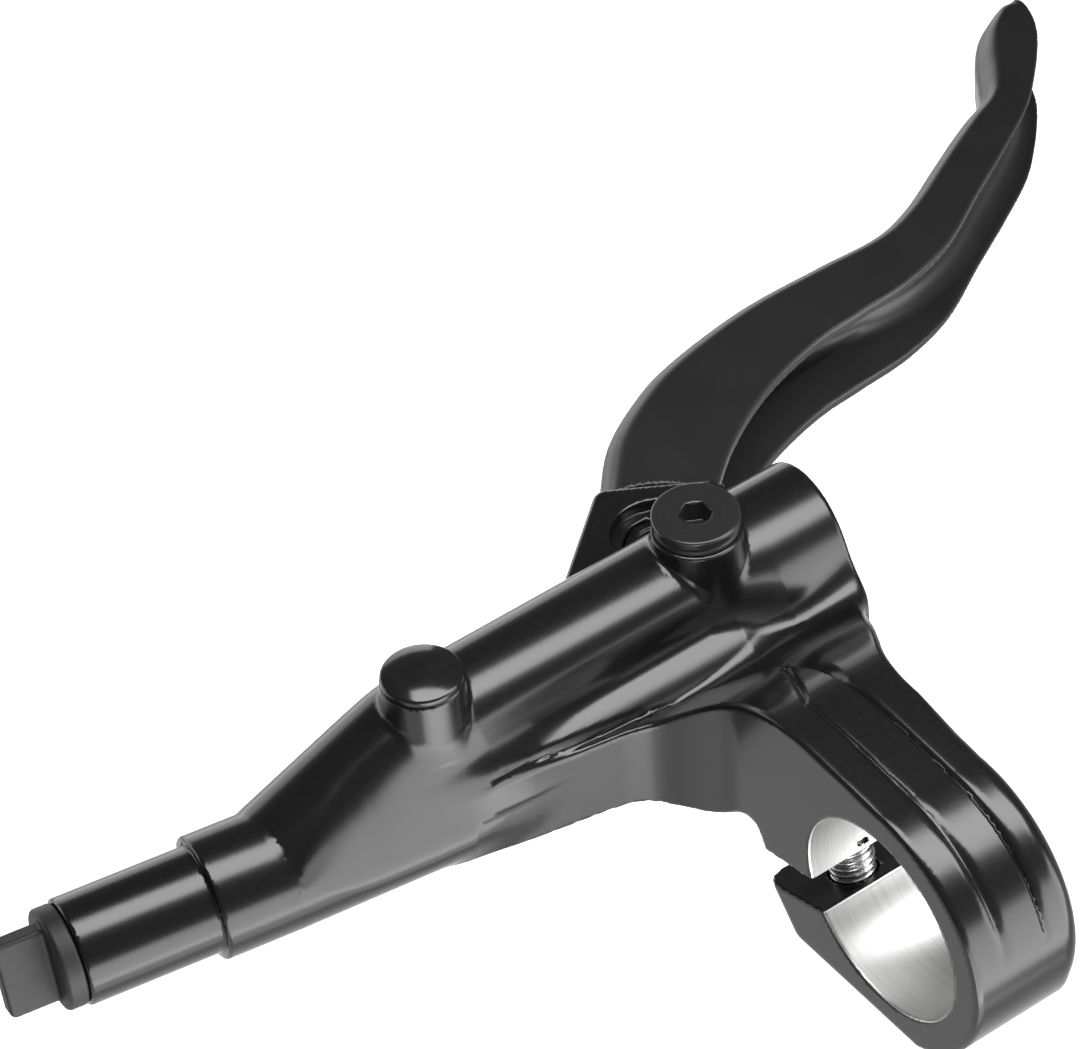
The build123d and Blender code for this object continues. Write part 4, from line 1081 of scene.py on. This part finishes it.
def thread_mesh(name, tree, sizes, values, matrix):
    """The swept thread as a plain mesh, put in place."""
    holder = bpy.data.objects.new(name + "_tree", bpy.data.meshes.new(name + "_start"))
    bpy.context.collection.objects.link(holder)
    modifier = holder.modifiers.new("thread", "NODES")
    modifier.node_group = tree
    for title, value in values.items():
        modifier[sizes[title]] = value * (1.0 if title == "Turns" else MM)
    evaluated = holder.evaluated_get(bpy.context.evaluated_depsgraph_get())
    mesh = bpy.data.meshes.new_from_object(evaluated)
    mesh.name = name
    holder.modifiers.remove(modifier)
    bpy.data.objects.remove(holder)
    mesh.transform(matrix)
    obj = bpy.data.objects.new(name, mesh)
    bpy.context.collection.objects.link(obj)
    return obj


bolt_tree, bolt_sizes = thread_tree("bolt_thread", bright_steel)
bolt_up = np.array((0.0, math.sin(BOLT_TILT), math.cos(BOLT_TILT)))
bolt_out = np.array((0.0, math.cos(BOLT_TILT), -math.sin(BOLT_TILT)))
thread_from = BOLT_SEAT + THREAD_GAP
thread_foot = bolt_out * BOLT_OFFSET + bolt_up * thread_from


def placed(x_way, y_way, z_way, spot):
    """Matrix with the given axes at a spot in millimetres."""
    rows = [[x_way[i], y_way[i], z_way[i], spot[i] * MM] for i in range(3)]
    return Matrix(rows + [[0, 0, 0, 1]])


bolt_place = placed((1.0, 0.0, 0.0), -bolt_out, bolt_up, thread_foot)
thread = thread_mesh(
    "clamp_bolt_thread",
    bolt_tree,
    bolt_sizes,
    {
        "Core Radius": BOLT_CORE_R,
        "Ridge": BOLT_R - BOLT_CORE_R,
        "Pitch": BOLT_PITCH,
        "Turns": (BOLT_TIP - thread_from - THREAD_RUNOUT) / BOLT_PITCH,
    },
    bolt_place,
)
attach(thread, "body")

# Inside pieces: steel clip, rod, spring, circlip and washer; bronze bushes; aluminium piston and plug.
# Cups, plug seal and bladder are rubber. All are the CAD solids themselves, with their own finishes.
steel = metal_finish("ground_steel", (0.42, 0.42, 0.42), (0.55, 0.55, 0.54), 0.32)
bronze = metal_finish("sintered_bronze", (0.34, 0.22, 0.1), (0.46, 0.3, 0.15), 0.42)
aluminium = metal_finish("turned_aluminium", (0.6, 0.6, 0.61), (0.75, 0.75, 0.75), 0.3)
for finish, names in (
    (steel, ("pivot_clip", "push_rod", "return_spring", "piston_circlip", "clamp_washer")),
    (blacked_steel, ("reach_screw",)),
    (bronze, ("pivot_bush_upper", "pivot_bush_lower")),
    (aluminium, ("master_piston", "reservoir_plug")),
    (black_rubber, ("primary_cup", "secondary_cup", "reservoir_plug_seal", "reservoir_bladder")),
):
    for name in names:
        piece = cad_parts[name]
        piece.data.materials.clear()
        piece.data.materials.append(finish)

# Stage: a pale floor well below the lever, which glows a little, with a lamp that keeps it white.
# A soft strip hangs overhead; low panels in front and at the left and a back wall show in the paint.
# The camera stands behind and above the inboard side, as far off as the photograph's perspective says.
PHOTO = (1080, 1049)
VIEW_TURN = math.radians(-32.91)
VIEW_TILT = math.radians(43.09)
VIEW_ROLL = math.radians(-4.94)
PIXELS_PER_MM = 10.257
VIEW_DISTANCE = 500.0
ORIGIN_PIXEL = (933.4, 888.3)
SENSOR = 36.0

back = np.array(
    (
        math.sin(VIEW_TURN) * math.cos(VIEW_TILT),
        -math.cos(VIEW_TURN) * math.cos(VIEW_TILT),
        math.sin(VIEW_TILT),
    )
)
level = np.array((math.cos(VIEW_TURN), math.sin(VIEW_TURN), 0.0))
upright = np.cross(back, level)
right = math.cos(VIEW_ROLL) * level + math.sin(VIEW_ROLL) * upright
up = -math.sin(VIEW_ROLL) * level + math.cos(VIEW_ROLL) * upright
eye = (
    right * (PHOTO[0] / 2 - ORIGIN_PIXEL[0]) / PIXELS_PER_MM
    + up * (ORIGIN_PIXEL[1] - PHOTO[1] / 2) / PIXELS_PER_MM
    + back * VIEW_DISTANCE
)
camera_data = bpy.data.cameras.new("photo_camera")
camera_data.sensor_fit = "HORIZONTAL"
camera_data.sensor_width = SENSOR
camera_data.lens = SENSOR * PIXELS_PER_MM * VIEW_DISTANCE / PHOTO[0]
camera_data.clip_start = 0.01
camera = bpy.data.objects.new("photo_camera", camera_data)
camera.matrix_world = placed(right, up, back, eye)
bpy.context.collection.objects.link(camera)
bpy.context.scene.camera = camera

FLOOR_DROP = 0.45
FLOOR_SIZE = 12.0
FLOOR_GLOW = 0.32
floor_mesh = bpy.data.meshes.new("floor")
h = FLOOR_SIZE / 2
floor_corners = [(u * h, v * h, -FLOOR_DROP) for u, v in ((-1, -1), (1, -1), (1, 1), (-1, 1))]
floor_mesh.from_pydata(floor_corners, [], [(0, 1, 2, 3)])
floor = bpy.data.objects.new("floor", floor_mesh)
bpy.context.collection.objects.link(floor)
material, shader, place = new_finish("pale_floor")
pale = grain(place, 0.02).ramp(0.2, 0.8).tint((0.93, 0.93, 0.93), (0.96, 0.96, 0.96))
feed(shader, Base_Color=pale, Roughness=0.9, Emission_Color=pale, Emission_Strength=FLOOR_GLOW)
floor_mesh.materials.append(material)


def soft_light(name, spot, facing, along, size, radiance):
    """A flat soft light at a spot in millimetres, facing one way, its long side along another."""
    data = bpy.data.lights.new(name, "AREA")
    data.shape = "RECTANGLE"
    data.size, data.size_y = (edge * MM for edge in size)
    data.energy = 4.0 * radiance * data.size * data.size_y
    away = -np.array(facing, float)
    away /= np.linalg.norm(away)
    side_way = np.array(along, float)
    side_way -= away * (side_way @ away)
    side_way /= np.linalg.norm(side_way)
    up_way = np.cross(away, side_way)
    light = bpy.data.objects.new(name, data)
    light.matrix_world = placed(side_way, up_way, away, spot)
    light.visible_camera = False
    bpy.context.collection.objects.link(light)


soft_light("overhead_strip", (41.0, -25.0, 140.0), (0.0, 0.0, -1.0), (0.857, -0.515, 0.0), (254.0, 75.0), 7.2)
soft_light("low_front_panel", (40.0, -215.0, -78.0), (-0.1, 1.0, 0.1), (1.0, 0.0, 0.27), (640.0, 230.0), 3.9)
soft_light("low_floor_panel", (-10.0, -300.0, -300.0), (0.0, 0.0, 1.0), (1.0, -0.3, 0.0), (320.0, 300.0), 1.4)
soft_light("low_left_panel", (-400.0, -150.0, -330.0), (0.7, 0.3, 0.6), (0.3, -0.95, 0.0), (760.0, 460.0), 0.5)
soft_light("back_wall", (-100.0, 1000.0, 0.0), (0.1, -1.0, 0.0), (1.0, 0.1, 0.0), (1800.0, 600.0), 1.4)
LAMP_POWER = 5.5
LAMP_CONE = math.radians(115)
LAMP_HEIGHT = 0.32
lamp = bpy.data.lights.new("floor_lamp", "SPOT")
lamp.energy = LAMP_POWER
lamp.spot_size = LAMP_CONE
lamp.spot_blend = 0.6
floor_lamp = bpy.data.objects.new("floor_lamp", lamp)
reach = (eye[2] * MM + FLOOR_DROP) / back[2]
lamp_x, lamp_y = eye[:2] * MM - back[:2] * reach
floor_lamp.location = (lamp_x, lamp_y, LAMP_HEIGHT - FLOOR_DROP)
bpy.context.collection.objects.link(floor_lamp)
bpy.context.scene.view_settings.view_transform = "Standard"
WORLD_LIGHT = 0.12
world = bpy.data.worlds.new("studio")
bpy.context.scene.world = world
world.use_nodes = True
background = world.node_tree.nodes["Background"]
background.inputs["Color"].default_value = (1.0, 1.0, 1.0, 1)
background.inputs["Strength"].default_value = WORLD_LIGHT
